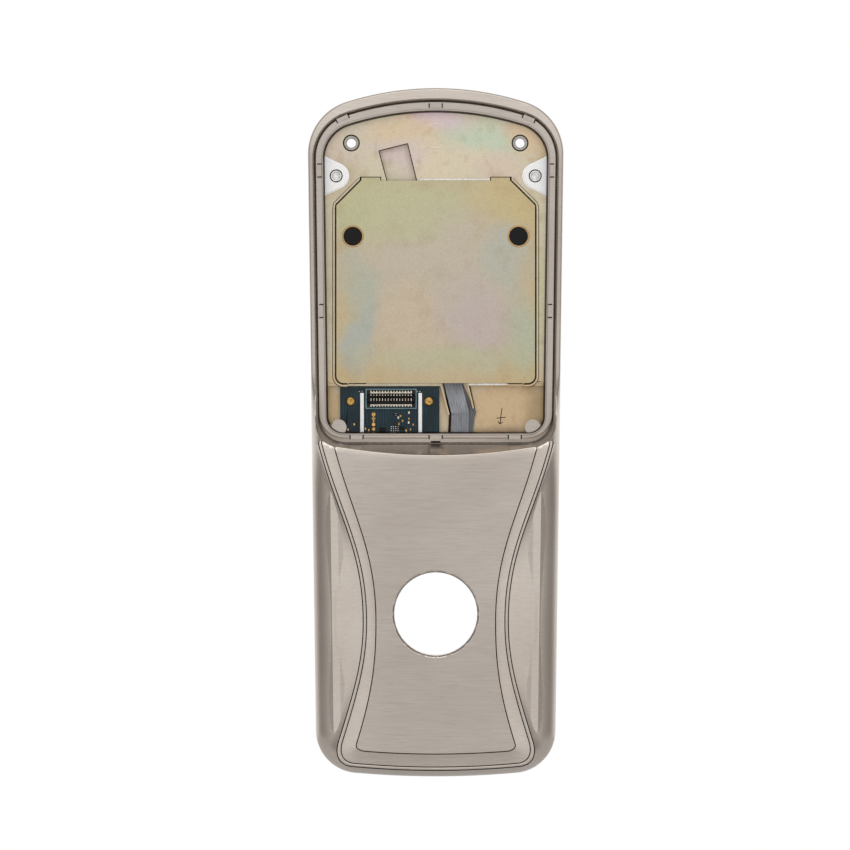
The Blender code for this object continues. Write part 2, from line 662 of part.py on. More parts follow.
def build_plugs():
    under = COVER_DEPTH - PLUG_HEAD_THICKNESS
    tip = PLATE_REAR_DEPTH - SHEET
    profile = [(0.0, COVER_DEPTH), (PLUG_HEAD_RADIUS, COVER_DEPTH), (PLUG_HEAD_RADIUS, under),
               (PLUG_STEM_RADIUS, under), (PLUG_STEM_RADIUS, tip + PLUG_HEAD_THICKNESS),
               (PLUG_STEM_RADIUS * 0.7, tip), (0.0, tip)]
    for side, name in ((-1, "left"), (1, "right")):
        turned("cover_plug_" + name, side * PLUG_X, PLUG_Z, profile, BLACK_RUBBER)


# --- controller board ----------------------------------------------------------------------------

def board_screw_places():
    z = BOARD_TOP_Z - BOARD_SCREW_DROP
    return [(BOARD_LEFT_X + BOARD_SCREW_INSET, z), (BOARD_RIGHT_X - BOARD_SCREW_INSET, z)]


def build_board():
    rear = BOARD_DEPTH - BOARD_THICKNESS
    board = box("controller_board", (BOARD_LEFT_X, BOARD_RIGHT_X), (BOARD_BOTTOM_Z, BOARD_TOP_Z),
                rear, BOARD_DEPTH, BOARD_LACQUER)
    for i, (x, z) in enumerate(board_screw_places()):
        cut(board, rod("board_hole_%d" % i, x, z, BOARD_SCREW_RADIUS + GAP, 0.0,
                       BOARD_DEPTH + OVERCUT, sides=16))
    clearances = zip(("lug", "boss"), plate_screw_places()[::2], (LUG_RADIUS, BOSS_RADIUS))
    for name, (x, z, front), radius in clearances:
        cut(board, rod("board_%s_clearance" % name, x, z, radius + GAP, 0.0,
                       BOARD_DEPTH + OVERCUT))


def build_board_fasteners():
    board_rear = BOARD_DEPTH - BOARD_THICKNESS
    seat = BOARD_DEPTH + GAP
    for (x, z), name in zip(board_screw_places(), ("left", "right")):
        top = board_rear - GAP
        base = LOWER_PLATE_DEPTH + GAP
        bore = BOARD_SCREW_RADIUS + GAP
        standoff = [(bore, top), (STANDOFF_RADIUS, top), (STANDOFF_RADIUS, base),
                    (STANDOFF_SHANK_RADIUS, base), (STANDOFF_SHANK_RADIUS, LOWER_PLATE_REAR),
                    (bore, LOWER_PLATE_REAR), (bore, top)]
        turned("board_standoff_" + name, x, z, standoff, STEEL, sides=16)
        head = seat + BOARD_SCREW_HEAD_HEIGHT
        screw = [(0.0, head), (BOARD_SCREW_HEAD_RADIUS * 0.75, head),
                 (BOARD_SCREW_HEAD_RADIUS, seat + BOARD_SCREW_HEAD_HEIGHT * 0.5),
                 (BOARD_SCREW_HEAD_RADIUS, seat), (BOARD_SCREW_RADIUS, seat),
                 (BOARD_SCREW_RADIUS, LOWER_PLATE_REAR), (0.0, LOWER_PLATE_REAR)]
        turned("board_screw_" + name, x, z, screw, BRASS, sides=16)


def contact_row(name, body_edge_z, outward):
    """Solder feet in a row along one edge of the header, tied by the strip inside it."""
    rear = BOARD_DEPTH + GAP
    front = rear + CONTACT_THICKNESS
    reach = (CONTACT_COUNT - 1) * CONTACT_PITCH / 2
    root = body_edge_z + outward * GAP
    span = sorted((root, root + outward * CONTACT_WIDTH))
    row = box(name, (HEADER_X - reach, HEADER_X + reach), span, rear, front, TINNED)
    for i in range(CONTACT_COUNT):
        x = HEADER_X - reach + i * CONTACT_PITCH
        foot = sorted((root, root + outward * CONTACT_FOOT))
        join(row, box("%s_foot_%d" % (name, i), (x - CONTACT_WIDTH / 2, x + CONTACT_WIDTH / 2), foot,
                      rear, front + CONTACT_THICKNESS / 2))


def build_header():
    base = BOARD_DEPTH + GAP
    half = HEADER_WIDTH / 2
    bottom = HEADER_TOP_Z - HEADER_HEIGHT
    header = box("board_header", (HEADER_X - half, HEADER_X + half), (bottom, HEADER_TOP_Z), base,
                 base + HEADER_DEPTH, BLACK_PLASTIC)
    wall = HEADER_HEIGHT / 4
    cut(header, box("header_slot", (HEADER_X - half + wall, HEADER_X + half - wall),
                    (bottom + wall, HEADER_TOP_Z - wall), base + HEADER_DEPTH / 2,
                    base + HEADER_DEPTH + OVERCUT))
    contact_row("header_contacts_upper", HEADER_TOP_Z, 1)
    contact_row("header_contacts_lower", bottom, -1)
    outer = SHROUD_HALF_WIDTH
    inner = outer - SHROUD_WALL
    shroud = box("header_shroud", (HEADER_X - outer, HEADER_X + outer),
                 (SHROUD_BOTTOM_Z, SHROUD_TOP_Z), base, base + SHROUD_HEIGHT, BOARD_LACQUER)
    cut(shroud, box("shroud_window", (HEADER_X - inner, HEADER_X + inner),
                    (SHROUD_BOTTOM_Z + SHROUD_WALL, SHROUD_TOP_Z - SHROUD_WALL), 0.0,
                    base + SHROUD_HEIGHT + OVERCUT))


def build_rails():
    base = BOARD_DEPTH + GAP
    offset = SHROUD_HALF_WIDTH + RAIL_MARGIN + RAIL_WIDTH / 2
    for side, name in ((-1, "left"), (1, "right")):
        x = HEADER_X + side * offset
        box("board_rail_" + name, (x - RAIL_WIDTH / 2, x + RAIL_WIDTH / 2),
            (RAIL_BOTTOM_Z, RAIL_TOP_Z), base, base + RAIL_HEIGHT, NYLON)


def build_chip():
    """The board's controller, which the sill of the bay hides."""
    base = BOARD_DEPTH + GAP
    half = CHIP_SIZE / 2
    box("controller_chip", (HEADER_X - half, HEADER_X + half), (CHIP_Z - half, CHIP_Z + half), base,
        base + CHIP_HEIGHT, BLACK_PLASTIC)


# --- ribbon cable ----------------------------------------------------------------------------------

def ribbon_outline():
    """A flat strip that kinks once, at the fold."""
    top, fold, end = (Vector(point) for point in (RIBBON_TOP, RIBBON_FOLD, RIBBON_END))
    first = (fold - top).normalized()
    second = (end - fold).normalized()
    middle = (first + second).normalized()
    half = RIBBON_WIDTH / 2

    def across(direction):
        return Vector((-direction.y, direction.x)) * half

    right = [top + across(first), fold + across(middle), end + across(second)]
    left = [top - across(first), fold - across(middle), end - across(second)]
    return right + left[::-1]


def build_ribbon():
    rear = CHANNEL_FLOOR_DEPTH + GAP
    prism("ribbon_cable", ribbon_outline(), rear, rear + RIBBON_THICKNESS, RIBBON_PVC)
    x, top = RIBBON_END
    half = SOCKET_WIDTH / 2
    base = LOWER_PLATE_DEPTH + GAP
    box("ribbon_socket", (x - half, x + half), (top - GAP - SOCKET_HEIGHT, top - GAP), base,
        base + SOCKET_DEPTH, BLACK_PLASTIC)


clear_scene()
PARTS = new_collection("keypad lock escutcheon")
CUTTERS = new_collection("cutters")
build_housing()
build_gasket()
build_posts()
build_plate()
build_plate_screws()
build_clinch_nuts()
build_ears()
build_cover()
build_plugs()
build_board()
build_board_fasteners()
build_header()
build_rails()
build_chip()
build_ribbon()
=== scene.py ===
"""Looks of the outside escutcheon of a keypad lock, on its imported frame.

X is to the right, Z is up and the front faces -Y. A depth is a distance from the
door towards the front, so a point at depth d has y = -d. Lengths are in metres.
"""

import math

import bmesh
import bpy
from mathutils import Matrix, Vector, geometry, kdtree
from mathutils.bvhtree import BVHTree


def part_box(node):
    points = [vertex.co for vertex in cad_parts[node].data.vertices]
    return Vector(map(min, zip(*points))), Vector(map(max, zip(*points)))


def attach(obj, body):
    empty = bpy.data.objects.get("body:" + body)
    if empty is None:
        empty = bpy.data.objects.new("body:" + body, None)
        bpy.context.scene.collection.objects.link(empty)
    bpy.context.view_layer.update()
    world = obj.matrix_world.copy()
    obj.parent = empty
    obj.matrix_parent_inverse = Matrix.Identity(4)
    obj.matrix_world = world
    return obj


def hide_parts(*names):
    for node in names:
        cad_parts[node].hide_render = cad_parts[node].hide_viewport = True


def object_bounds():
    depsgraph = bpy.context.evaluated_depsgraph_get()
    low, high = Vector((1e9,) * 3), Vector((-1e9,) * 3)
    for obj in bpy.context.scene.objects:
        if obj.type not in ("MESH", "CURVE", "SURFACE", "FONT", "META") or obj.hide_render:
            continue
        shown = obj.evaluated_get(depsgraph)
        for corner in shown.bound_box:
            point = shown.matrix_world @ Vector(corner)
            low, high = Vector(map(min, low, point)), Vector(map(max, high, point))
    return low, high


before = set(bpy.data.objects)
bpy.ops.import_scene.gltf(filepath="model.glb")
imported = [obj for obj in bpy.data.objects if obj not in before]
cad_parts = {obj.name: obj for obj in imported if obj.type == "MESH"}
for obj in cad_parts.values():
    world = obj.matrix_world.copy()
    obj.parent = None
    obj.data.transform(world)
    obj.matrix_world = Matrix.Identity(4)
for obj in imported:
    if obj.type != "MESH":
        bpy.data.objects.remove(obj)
cad_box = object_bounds()

# --- the housing's outline, as in the design -----------------------------------------------------
housing_low, housing_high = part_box("housing")
BOTTOM_Z = housing_low.z
TOP_Z = housing_high.z
REAR_DEPTH = -housing_high.y
BODY_DEPTH = -housing_low.y
FOOT_HALF_WIDTH = 0.0423
HEAD_HALF_WIDTH = 0.04575
TOP_ARC = 0.105
TOP_CORNER = 0.0194
BOTTOM_ARC = 0.322
BOTTOM_CORNER = 0.0152
STRAIGHT = 10.0

# --- the front of the lower body -----------------------------------------------------------------
PANEL_DEPTH = BODY_DEPTH - 0.00005
BAND_MIDDLE_DEPTH = BODY_DEPTH - 0.00045
BAND_EDGE_DEPTH = BODY_DEPTH - 0.00060   # the band round the panel falls away to this
CHEEK_DEPTH = BODY_DEPTH - 0.00070       # where the cheeks start, beside the bead
CHEEK_FALL = 0.0010                      # a wide cheek falls by this before it rolls over
CHEEK_ROLL = 0.0110
RIM_ROLL = 0.0007
RIM_FALL = 0.00030                       # the rim's face slopes outwards by this
WALL_DEPTH = 0.0168                      # the cheeks roll over into the side walls here
RIM_DEPTH = 0.015
RIM_WALL_DEPTH = 0.0132
SILL_Z = 0.0562                          # lowest point of the bay's front edge
SHOULDER_TOP = 0.086                     # the rim's climb to the body starts here
SHOULDER_FOOT = 0.058
FOOT_Z = -0.0455                         # the lines' side curves end here
WAIST_Z = -0.0029
CROWN = 0.9                              # the front falls away by this times the square of x
SILL_ROLL = 0.00016                      # and by this over the last 2 mm to the bay
SILL_ARC = 0.206                         # radius of the sill, seen from the front
CREST_DROP = 0.00022                     # the bay's edge lies this much behind its crest
LINE_TOP_Z = 0.0595
GROOVE_WIDTH = 0.00038
GROOVE_CUT = 0.00036
BEAD_RISE = 0.00012

# (half width at the top, at the waist and at the foot, corner size, height over the edge)
OUTER_LINE = (0.0407, 0.02565, 0.0345, 0.0054, 0.0025)
BEAD_LINE = (0.0395, 0.02445, 0.0331, 0.0046, 0.0037)
PANEL_LINE = (0.0353, 0.02114, 0.0279, 0.0028, 0.0083)

LEVER_HOLE = 0.0147
LEVER_COLLAR_DEPTH = 0.018
HOLE_CHAMFER = 0.0004
HOLE_SIDES = 96

LEDGE_DEPTH = 0.0120
STOP_LENGTH = 0.0044
PLATE_FACE = 0.0085
LOW_PLATE_FACE = 0.0045
CHANNEL_HEAD = (Vector((-0.0202, 0.1643)), Vector((-0.0100, 0.1669)))   # left, right corner
CHANNEL_RUN = (Vector((0.0050, 0.0705)), Vector((0.0132, 0.0726)))      # where they run to
COVER_TAB = 0.0011                       # the cover's tabs stand up by this
HEADER_PITCH = 0.00102


# --- materials -----------------------------------------------------------------------------------

def rgb(code):
    """An sRGB hex colour as a linear colour."""
    parts = [int(code[i:i + 2], 16) / 255 for i in (0, 2, 4)]
    linear = [c / 12.92 if c <= 0.04045 else ((c + 0.055) / 1.055) ** 2.4 for c in parts]
    return (*linear, 1.0)


def put(tree, kind, inputs=None, **settings):
    """Adds a node with its settings, its values and the links into it."""
    made = tree.nodes.new(kind)
    for name, value in settings.items():
        setattr(made, name, value)
    for name, value in (inputs or {}).items():
        if isinstance(value, bpy.types.NodeSocket):
            tree.links.new(value, made.inputs[name])
        else:
            made.inputs[name].default_value = value
    return made


def ramp(tree, factor, stops):
    """A colour ramp over (position, hex colour) stops."""
    made = put(tree, "ShaderNodeValToRGB", {"Fac": factor})
    elements = made.color_ramp.elements
    while len(elements) < len(stops):
        elements.new(0.5)
    for element, (position, code) in zip(elements, stops):
        element.position = position
        element.color = rgb(code)
    return made.outputs["Color"]


def spread(tree, factor, low, high):
    """Moves a 0 to 1 factor to the range low to high."""
    return put(tree, "ShaderNodeMapRange", {"Value": factor, "To Min": low, "To Max": high}
               ).outputs["Result"]


def start(name):
    """A new material's tree, its shader and its coordinates in metres."""
    made = bpy.data.materials.new(name)
    made.use_nodes = True
    tree = made.node_tree
    shader = tree.nodes["Principled BSDF"]
    place = put(tree, "ShaderNodeTexCoord").outputs["Object"]
    return made, tree, shader, place


def grain(tree, place, size, detail, rough, stretch=(1.0, 1.0, 1.0)):
    """Noise whose features are about size metres, longer along an axis with stretch below 1."""
    scaled = put(tree, "ShaderNodeMapping", {"Vector": place, "Scale": stretch}).outputs["Vector"]
    return put(tree, "ShaderNodeTexNoise", {"Vector": scaled, "Scale": 1.0 / size,
                                            "Detail": detail, "Roughness": rough}).outputs["Fac"]


def mixed(tree, factor, first, second, blend="MIX"):
    """Mixes two colours; each of the three inputs is a value or a socket."""
    made = put(tree, "ShaderNodeMix", data_type="RGBA", blend_type=blend)
    for socket, value in ((made.inputs[0], factor), (made.inputs[6], first),
                          (made.inputs[7], second)):
        if isinstance(value, bpy.types.NodeSocket):
            tree.links.new(value, socket)
        else:
            socket.default_value = value
    return made.outputs[2]


def bump(tree, shader, height, distance):
    normal = put(tree, "ShaderNodeBump", {"Height": height, "Distance": distance})
    tree.links.new(normal.outputs["Normal"], shader.inputs["Normal"])


def coat(tree, shader, pattern, stops, rough, relief):
    """Colour, roughness and relief that all follow one pattern."""
    tree.links.new(ramp(tree, pattern, stops), shader.inputs["Base Color"])
    tree.links.new(spread(tree, pattern, *rough), shader.inputs["Roughness"])
    bump(tree, shader, pattern, relief)


def satin_nickel():
    """Nickel plate on cast zinc, brushed across the part with a fine belt.

    The belt leaves short lines along X, about 0.1 mm apart. They are drawn about 0.5 mm
    apart, so that they show. The metal is warm; its recesses get the darker nickel below, which is
    painted shade.
    """
    made, tree, shader, place = start("satin nickel, brushed across")
    lines = grain(tree, place, 0.0005, 4.0, 0.7, (0.05, 1.0, 1.0))
    patches = grain(tree, place, 0.030, 2.0, 0.5, (0.6, 1.0, 1.0))
    tone = ramp(tree, lines, [(0.25, "B7AEA5"), (0.75, "C8BFB6")])
    cloud = ramp(tree, patches, [(0.3, "F2F0EE"), (0.7, "FFFFFF")])
    tree.links.new(mixed(tree, 1.0, tone, cloud, "MULTIPLY"), shader.inputs["Base Color"])
    tree.links.new(spread(tree, lines, 0.24, 0.34), shader.inputs["Roughness"])
    shader.inputs["Metallic"].default_value = 1.0
    bump(tree, shader, lines, 0.000008)
    return made


def shaded_nickel(name, low, high):
    """The same nickel, painted darker in narrow grooves and gaps: painted shade."""
    made, tree, shader, place = start(name)
    shade_mottle = grain(tree, place, 0.0015, 3.0, 0.6)
    coat(tree, shader, shade_mottle, [(0.3, low), (0.7, high)], (0.4, 0.6), 0.00002)
    shader.inputs["Metallic"].default_value = 1.0
    return made


def yellow_chromate(name, base, patches, fine, stained):
    """Steel sheet, zinc plated and yellow chromated.

    The film's thickness drifts over centimetres, so the yellow turns to sage, lavender,
    blue and pink in soft patches. Each patch is (x, z, half width, half height, colour,
    strength); a dark patch can also be painted shade. Stains of about fine metres lie between them.
    """
    made, tree, shader, place = start(name)
    drift = put(tree, "ShaderNodeTexNoise", {"Vector": place, "Scale": 45.0, "Detail": 2.0})
    offset = put(tree, "ShaderNodeVectorMath",
                 {0: drift.outputs["Color"], 1: (-0.5, -0.5, -0.5)}, operation="ADD")
    warped = put(tree, "ShaderNodeVectorMath",
                 {0: offset.outputs[0], 1: (0.022, 0.022, 0.022), 2: place},
                 operation="MULTIPLY_ADD").outputs[0]
    tone = rgb(base)
    for x, z, half_x, half_z, code, strength in patches:
        moved = put(tree, "ShaderNodeMapping", {
            "Vector": warped, "Location": (-x / half_x, 0.0, -z / half_z),
            "Scale": (1.0 / half_x, 0.0, 1.0 / half_z)}).outputs["Vector"]
        film = put(tree, "ShaderNodeTexGradient", {"Vector": moved},
                   gradient_type="SPHERICAL").outputs["Fac"]
        amount = put(tree, "ShaderNodeMapRange", {"Value": film, "From Max": 0.75,
                                                  "To Max": strength},
                     interpolation_type="SMOOTHSTEP").outputs["Result"]
        tone = mixed(tree, amount, tone, rgb(code))
    stains = grain(tree, place, fine, 4.0, 0.62)
    specks = grain(tree, place, 0.0005, 2.0, 0.6)
    tone = mixed(tree, stained, tone, ramp(tree, stains, [(0.3, "DCCDBB"), (0.5, "FFFFFF"),
                                                          (0.72, "EFE9EE")]), "MULTIPLY")
    tone = mixed(tree, 0.35, tone, ramp(tree, specks, [(0.3, "DDD8D0"), (0.6, "FFFFFF")]),
                 "MULTIPLY")
    tree.links.new(tone, shader.inputs["Base Color"])
    tree.links.new(spread(tree, stains, 0.34, 0.48), shader.inputs["Roughness"])
    shader.inputs["Metallic"].default_value = 0.85
    bump(tree, shader, specks, 0.00001)
    return made


def bright_zinc():
    """Turned steel with bright zinc: cool grey, with fine rings of tool marks."""
    made, tree, shader, place = start("bright zinc on turned steel")
    marks = grain(tree, place, 0.0006, 3.0, 0.6, (1.0, 0.3, 1.0))
    coat(tree, shader, marks, [(0.2, "8E8A80"), (0.8, "B5B1A8")], (0.3, 0.45), 0.000015)
    shader.inputs["Metallic"].default_value = 1.0
    return made


def plain_brass(name="brass, turned", dull="9F7A3E", bright="DDB36A"):
    """Brass, a little tarnished in the slots and marks."""
    made, tree, shader, place = start(name)
    tarnish = grain(tree, place, 0.0009, 4.0, 0.6)
    coat(tree, shader, tarnish, [(0.35, dull), (0.62, bright)], (0.25, 0.45), 0.00003)
    shader.inputs["Metallic"].default_value = 1.0
    return made


def white_nylon():
    """Moulded white nylon: matte, with a very fine spark texture."""
    made, tree, shader, place = start("white nylon, moulded")
    texture = grain(tree, place, 0.0007, 3.0, 0.6)
    coat(tree, shader, texture, [(0.3, "F4F4F3"), (0.7, "FBFBFB")], (0.42, 0.58), 0.00002)
    return made


def black_rubber(name="black rubber, moulded", low="060606", high="121213"):
    """Moulded rubber: near black, matte and slightly dusty."""
    made, tree, shader, place = start(name)
    dust = grain(tree, place, 0.0012, 5.0, 0.65)
    coat(tree, shader, dust, [(0.4, low), (0.75, high)], (0.55, 0.75), 0.00003)
    shader.inputs["Specular IOR Level"].default_value = 0.25
    return made


def board_lacquer():
    """Dark teal solder mask over copper: glossy, with faint traces showing under it."""
    made, tree, shader, place = start("solder mask, dark teal")
    lines = put(tree, "ShaderNodeTexWave", {"Vector": place, "Scale": 330.0,
                                            "Distortion": 1.5, "Detail": 1.0,
                                            "Detail Scale": 0.6}).outputs["Fac"]
    where = grain(tree, place, 0.0035, 1.0, 0.5, (1.0, 1.0, 0.5))
    shown = put(tree, "ShaderNodeMath", {0: lines, 1: where}, operation="MULTIPLY").outputs[0]
    traces = ramp(tree, shown, [(0.42, "0E2830"), (0.52, "1D434D")])
    haze = grain(tree, place, 0.009, 4.0, 0.6)
    tone = ramp(tree, haze, [(0.35, "D6E0E2"), (0.58, "FFFFFF"), (0.70, "FFE9C8")])
    tree.links.new(mixed(tree, 1.0, traces, tone, "MULTIPLY"), shader.inputs["Base Color"])
    tree.links.new(spread(tree, haze, 0.22, 0.38), shader.inputs["Roughness"])
    shader.inputs["Specular IOR Level"].default_value = 0.3
    bump(tree, shader, haze, 0.00004)
    return made


def plain_ink():
    """The pale blue edge of the connector's frame: moulded, slightly chalky."""
    made, tree, shader, place = start("polyester frame, pale teal")
    chalk = grain(tree, place, 0.0006, 3.0, 0.6)
    coat(tree, shader, chalk, [(0.3, "4F7078"), (0.7, "7C99A0")], (0.4, 0.55), 0.00002)
    return made


def ribbon_vinyl(name, low, high):
    """Grey PVC ribbon insulation: smooth, with a soft shine and slight scuffs."""
    made, tree, shader, place = start(name)
    scuffs = grain(tree, place, 0.0012, 4.0, 0.6, (1.0, 1.0, 0.2))
    coat(tree, shader, scuffs, [(0.3, low), (0.7, high)], (0.35, 0.5), 0.00003)
    return made


# --- outlines ------------------------------------------------------------------------------------

def arc(centre, radius, begin, end, steps):
    angles = [begin + (end - begin) * i / steps for i in range(steps + 1)]
    return [centre + radius * Vector((math.cos(a), math.sin(a))) for a in angles]


def circle(centre, radius, sides):
    return arc(centre, radius, 0.0, math.tau, sides)[:-1]


def side_half_width(z):
    share = (z - BOTTOM_Z) / (TOP_Z - BOTTOM_Z)
    return FOOT_HALF_WIDTH + share * (HEAD_HALF_WIDTH - FOOT_HALF_WIDTH)


def corner_centre(inset, arc_centre, arc_radius, corner, side):
    """Centre of the corner that runs from the right side into an end arc."""
    low = Vector((side_half_width(BOTTOM_Z) - inset, BOTTOM_Z))
    high = Vector((side_half_width(TOP_Z) - inset, TOP_Z))
    along = (high - low).normalized()
    inward = Vector((-along.y, along.x))
    first = low + corner * inward - arc_centre
    middle = first.dot(along)
    reach = math.sqrt(middle ** 2 - first.dot(first) + (arc_radius - corner) ** 2)
    return arc_centre + first + along * (side * reach - middle)


def arched(inset, top, top_arc, top_corner, bottom, bottom_arc, bottom_corner,
           counts=(24, 16, 60, 14, 24)):
    """A closed outline with arched ends; its points match those of any other one."""
    top_steps, high_steps, side_steps, low_steps, bottom_steps = counts
    tilt = math.atan((HEAD_HALF_WIDTH - FOOT_HALF_WIDTH) / (TOP_Z - BOTTOM_Z))
    centre = Vector((0.0, top - top_arc))
    corner = corner_centre(inset, centre, top_arc, top_corner, 1)
    meeting = math.atan2(corner.y - centre.y, corner.x)
    right = arc(centre, top_arc, math.pi / 2, meeting, top_steps)
    right += arc(corner, top_corner, meeting, -tilt, high_steps)[1:]
    centre = Vector((0.0, bottom + bottom_arc))
    corner = corner_centre(inset, centre, bottom_arc, bottom_corner, -1)
    meeting = math.atan2(corner.y - centre.y, corner.x)
    foot = arc(corner, bottom_corner, -tilt, meeting, low_steps)
    head = right[-1]
    right += [head.lerp(foot[0], i / side_steps) for i in range(1, side_steps)]
    right += foot
    right += arc(centre, bottom_arc, meeting, -math.pi / 2, bottom_steps)[1:]
    return right + [Vector((-point.x, point.y)) for point in reversed(right[1:-1])]


def shell_loop(inset):
    """The housing's outline, moved inwards by inset."""
    return arched(inset, TOP_Z - inset, TOP_ARC - inset, TOP_CORNER - inset, BOTTOM_Z + inset,
                  BOTTOM_ARC - inset, BOTTOM_CORNER - inset, (24, 20, 150, 16, 24))


def bay_loop(inset, drop, corner, bottom, bottom_arc, bottom_corner):
    """A line round the bay, drop below the crown; bottom is the height of its sill."""
    return arched(inset, TOP_Z - drop, 0.1105 - drop, corner, bottom, bottom_arc, bottom_corner)


def curve_points(p0, p1, p2, p3, steps):
    return [Vector(point) for point in geometry.interpolate_bezier(p0, p1, p2, p3, steps + 1)]


def shifted(points, distance):
    """An open path moved square to itself, to the left of its direction."""
    moved = []
    for i, point in enumerate(points):
        along = points[min(i + 1, len(points) - 1)] - points[max(i - 1, 0)]
        moved.append(point + Vector((-along.y, along.x)).normalized() * distance)
    return moved


def hourglass(line, shift=0.0):
    """A decorative line: down the left side, round the bottom and up the right side.

    shift moves it outwards, square to itself.
    """
    top, waist, foot, corner, rise = line
    slope = 0.31          # of the line at its foot
    upper = curve_points((top + 0.003, LINE_TOP_Z + 0.010), (top - 0.0035, LINE_TOP_Z - 0.022),
                         (waist, WAIST_Z + 0.029), (waist, WAIST_Z), 70)
    lower = curve_points((waist, WAIST_Z), (waist, WAIST_Z - 0.014),
                         (foot - slope * 0.018, FOOT_Z + 0.018), (foot, FOOT_Z), 50)
    end_x = foot - 0.85 * corner
    edge = BOTTOM_Z + rise
    end_z = edge + end_x ** 2 / (2 * BOTTOM_ARC)
    turn = curve_points((foot, FOOT_Z),
                        (foot + 0.25 * corner, FOOT_Z - 0.95 * (FOOT_Z - end_z) * 0.66),
                        (end_x + 0.7 * corner, end_z + 0.0005), (end_x, end_z), 16)
    base = [Vector((x, edge + x ** 2 / (2 * BOTTOM_ARC)))
            for x in (end_x * (1 - i / 30) for i in range(1, 31))]
    right = upper + lower[1:] + turn[1:] + base
    if shift:
        right = shifted(right, shift)
        right[-1].x = 0.0
    return [Vector((-point.x, point.y)) for point in right[:-1]] + right[::-1]


# --- mesh helpers --------------------------------------------------------------------------------

def new_object(name, bm, material, sharp=35.0):
    """An object from a mesh under construction; edges above sharp degrees stay crisp."""
    mesh = bpy.data.meshes.new(name)
    bm.to_mesh(mesh)
    bm.free()
    mesh.materials.append(material)
    mesh.shade_smooth()
    mesh.set_sharp_from_angle(angle=math.radians(sharp))
    made = bpy.data.objects.new(name, mesh)
    bpy.context.scene.collection.objects.link(made)
    return made


def ring_verts(bm, loop, depth):
    """Vertices of a loop of (x, z) points; depth is a number or a function of z."""
    return [bm.verts.new((p.x, -(depth(p.y) if callable(depth) else depth), p.y)) for p in loop]


def bridge(bm, near, far, closed=True, material=0):
    """Faces between two rows of vertices."""
    count = len(near)
    for i in range(count if closed else count - 1):
        j = (i + 1) % count
        bm.faces.new((near[i], near[j], far[j], far[i])).material_index = material


def bridge_all(bm, rows, closed=True):
    for near, far in zip(rows, rows[1:]):
        bridge(bm, near, far, closed)


def turned(node):
    """Centre, radius and front depth of a round piece of the design."""
    low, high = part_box(node)
    centre = Vector(((low.x + high.x) / 2, (low.z + high.z) / 2))
    return centre, (high.x - low.x) / 2, -low.y


def lathe(bm, centre, profile, sides=40):
    """A surface turned about a centre from (radius, depth) points."""
    bridge_all(bm, [ring_verts(bm, circle(centre, radius, sides), depth)
                    for radius, depth in profile])


def bevelled(made, width, segments=2):
    """Breaks the edges that are sharper than 32 degrees."""
    modifier = made.modifiers.new("edge", "BEVEL")
    modifier.width = width
    modifier.segments = segments
    modifier.limit_method = "ANGLE"
    modifier.angle_limit = math.radians(32.0)
    modifier.use_clamp_overlap = True
    made.modifiers.new("normals", "WEIGHTED_NORMAL").keep_sharp = True
    return made


def softened(node, material, body, slot, width):
    """The designed piece with its edges broken, which is what catches the light."""
    bm = bmesh.new()
    bm.from_mesh(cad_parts[node].data)
    bmesh.ops.remove_doubles(bm, verts=bm.verts, dist=0.000002)
    bmesh.ops.dissolve_limit(bm, angle_limit=math.radians(1.0), verts=bm.verts, edges=bm.edges)
    finished(bevelled(new_object(node + "_finish", bm, material), width), body, slot, node)


def finished(made, body, slot, *nodes):
    """Rides the piece on its body and hides the designed pieces it stands in for. The slot, its
    finish's name, is not used.
    """
    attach(made, body)
    if nodes:
        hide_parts(*nodes)


def block(bm, x, z, size_x, size_z, rear, front, turn=0.0):
    """A small box in a piece that has many of them."""
    place = Matrix.Translation((x, -(rear + front) / 2, z)) @ Matrix.Rotation(turn, 4, "Y")
    bmesh.ops.create_cube(bm, size=1.0, matrix=place @ Matrix.Diagonal(
        (size_x, front - rear, size_z, 1.0)))


def disc(bm, x, z, radius, rear, front, sides=24, top=1.0):
    """A short round stud; top narrows its front end."""
    place = Matrix.Translation((x, -(rear + front) / 2, z)) @ Matrix.Rotation(math.pi / 2, 4, "X")
    bmesh.ops.create_cone(bm, cap_ends=True, segments=sides, radius1=radius,
                          radius2=radius * top, depth=front - rear, matrix=place)


# --- housing -------------------------------------------------------------------------------------

def climb(z):
    """0 on the low rim, 1 on the lower body, and a smooth slope between them."""
    t = min(max((SHOULDER_TOP - z) / (SHOULDER_TOP - SHOULDER_FOOT), 0.0), 1.0)
    return t * t * (3 - 2 * t)


def wall_depth(z):
    return RIM_WALL_DEPTH + (WALL_DEPTH - RIM_WALL_DEPTH) * climb(z)


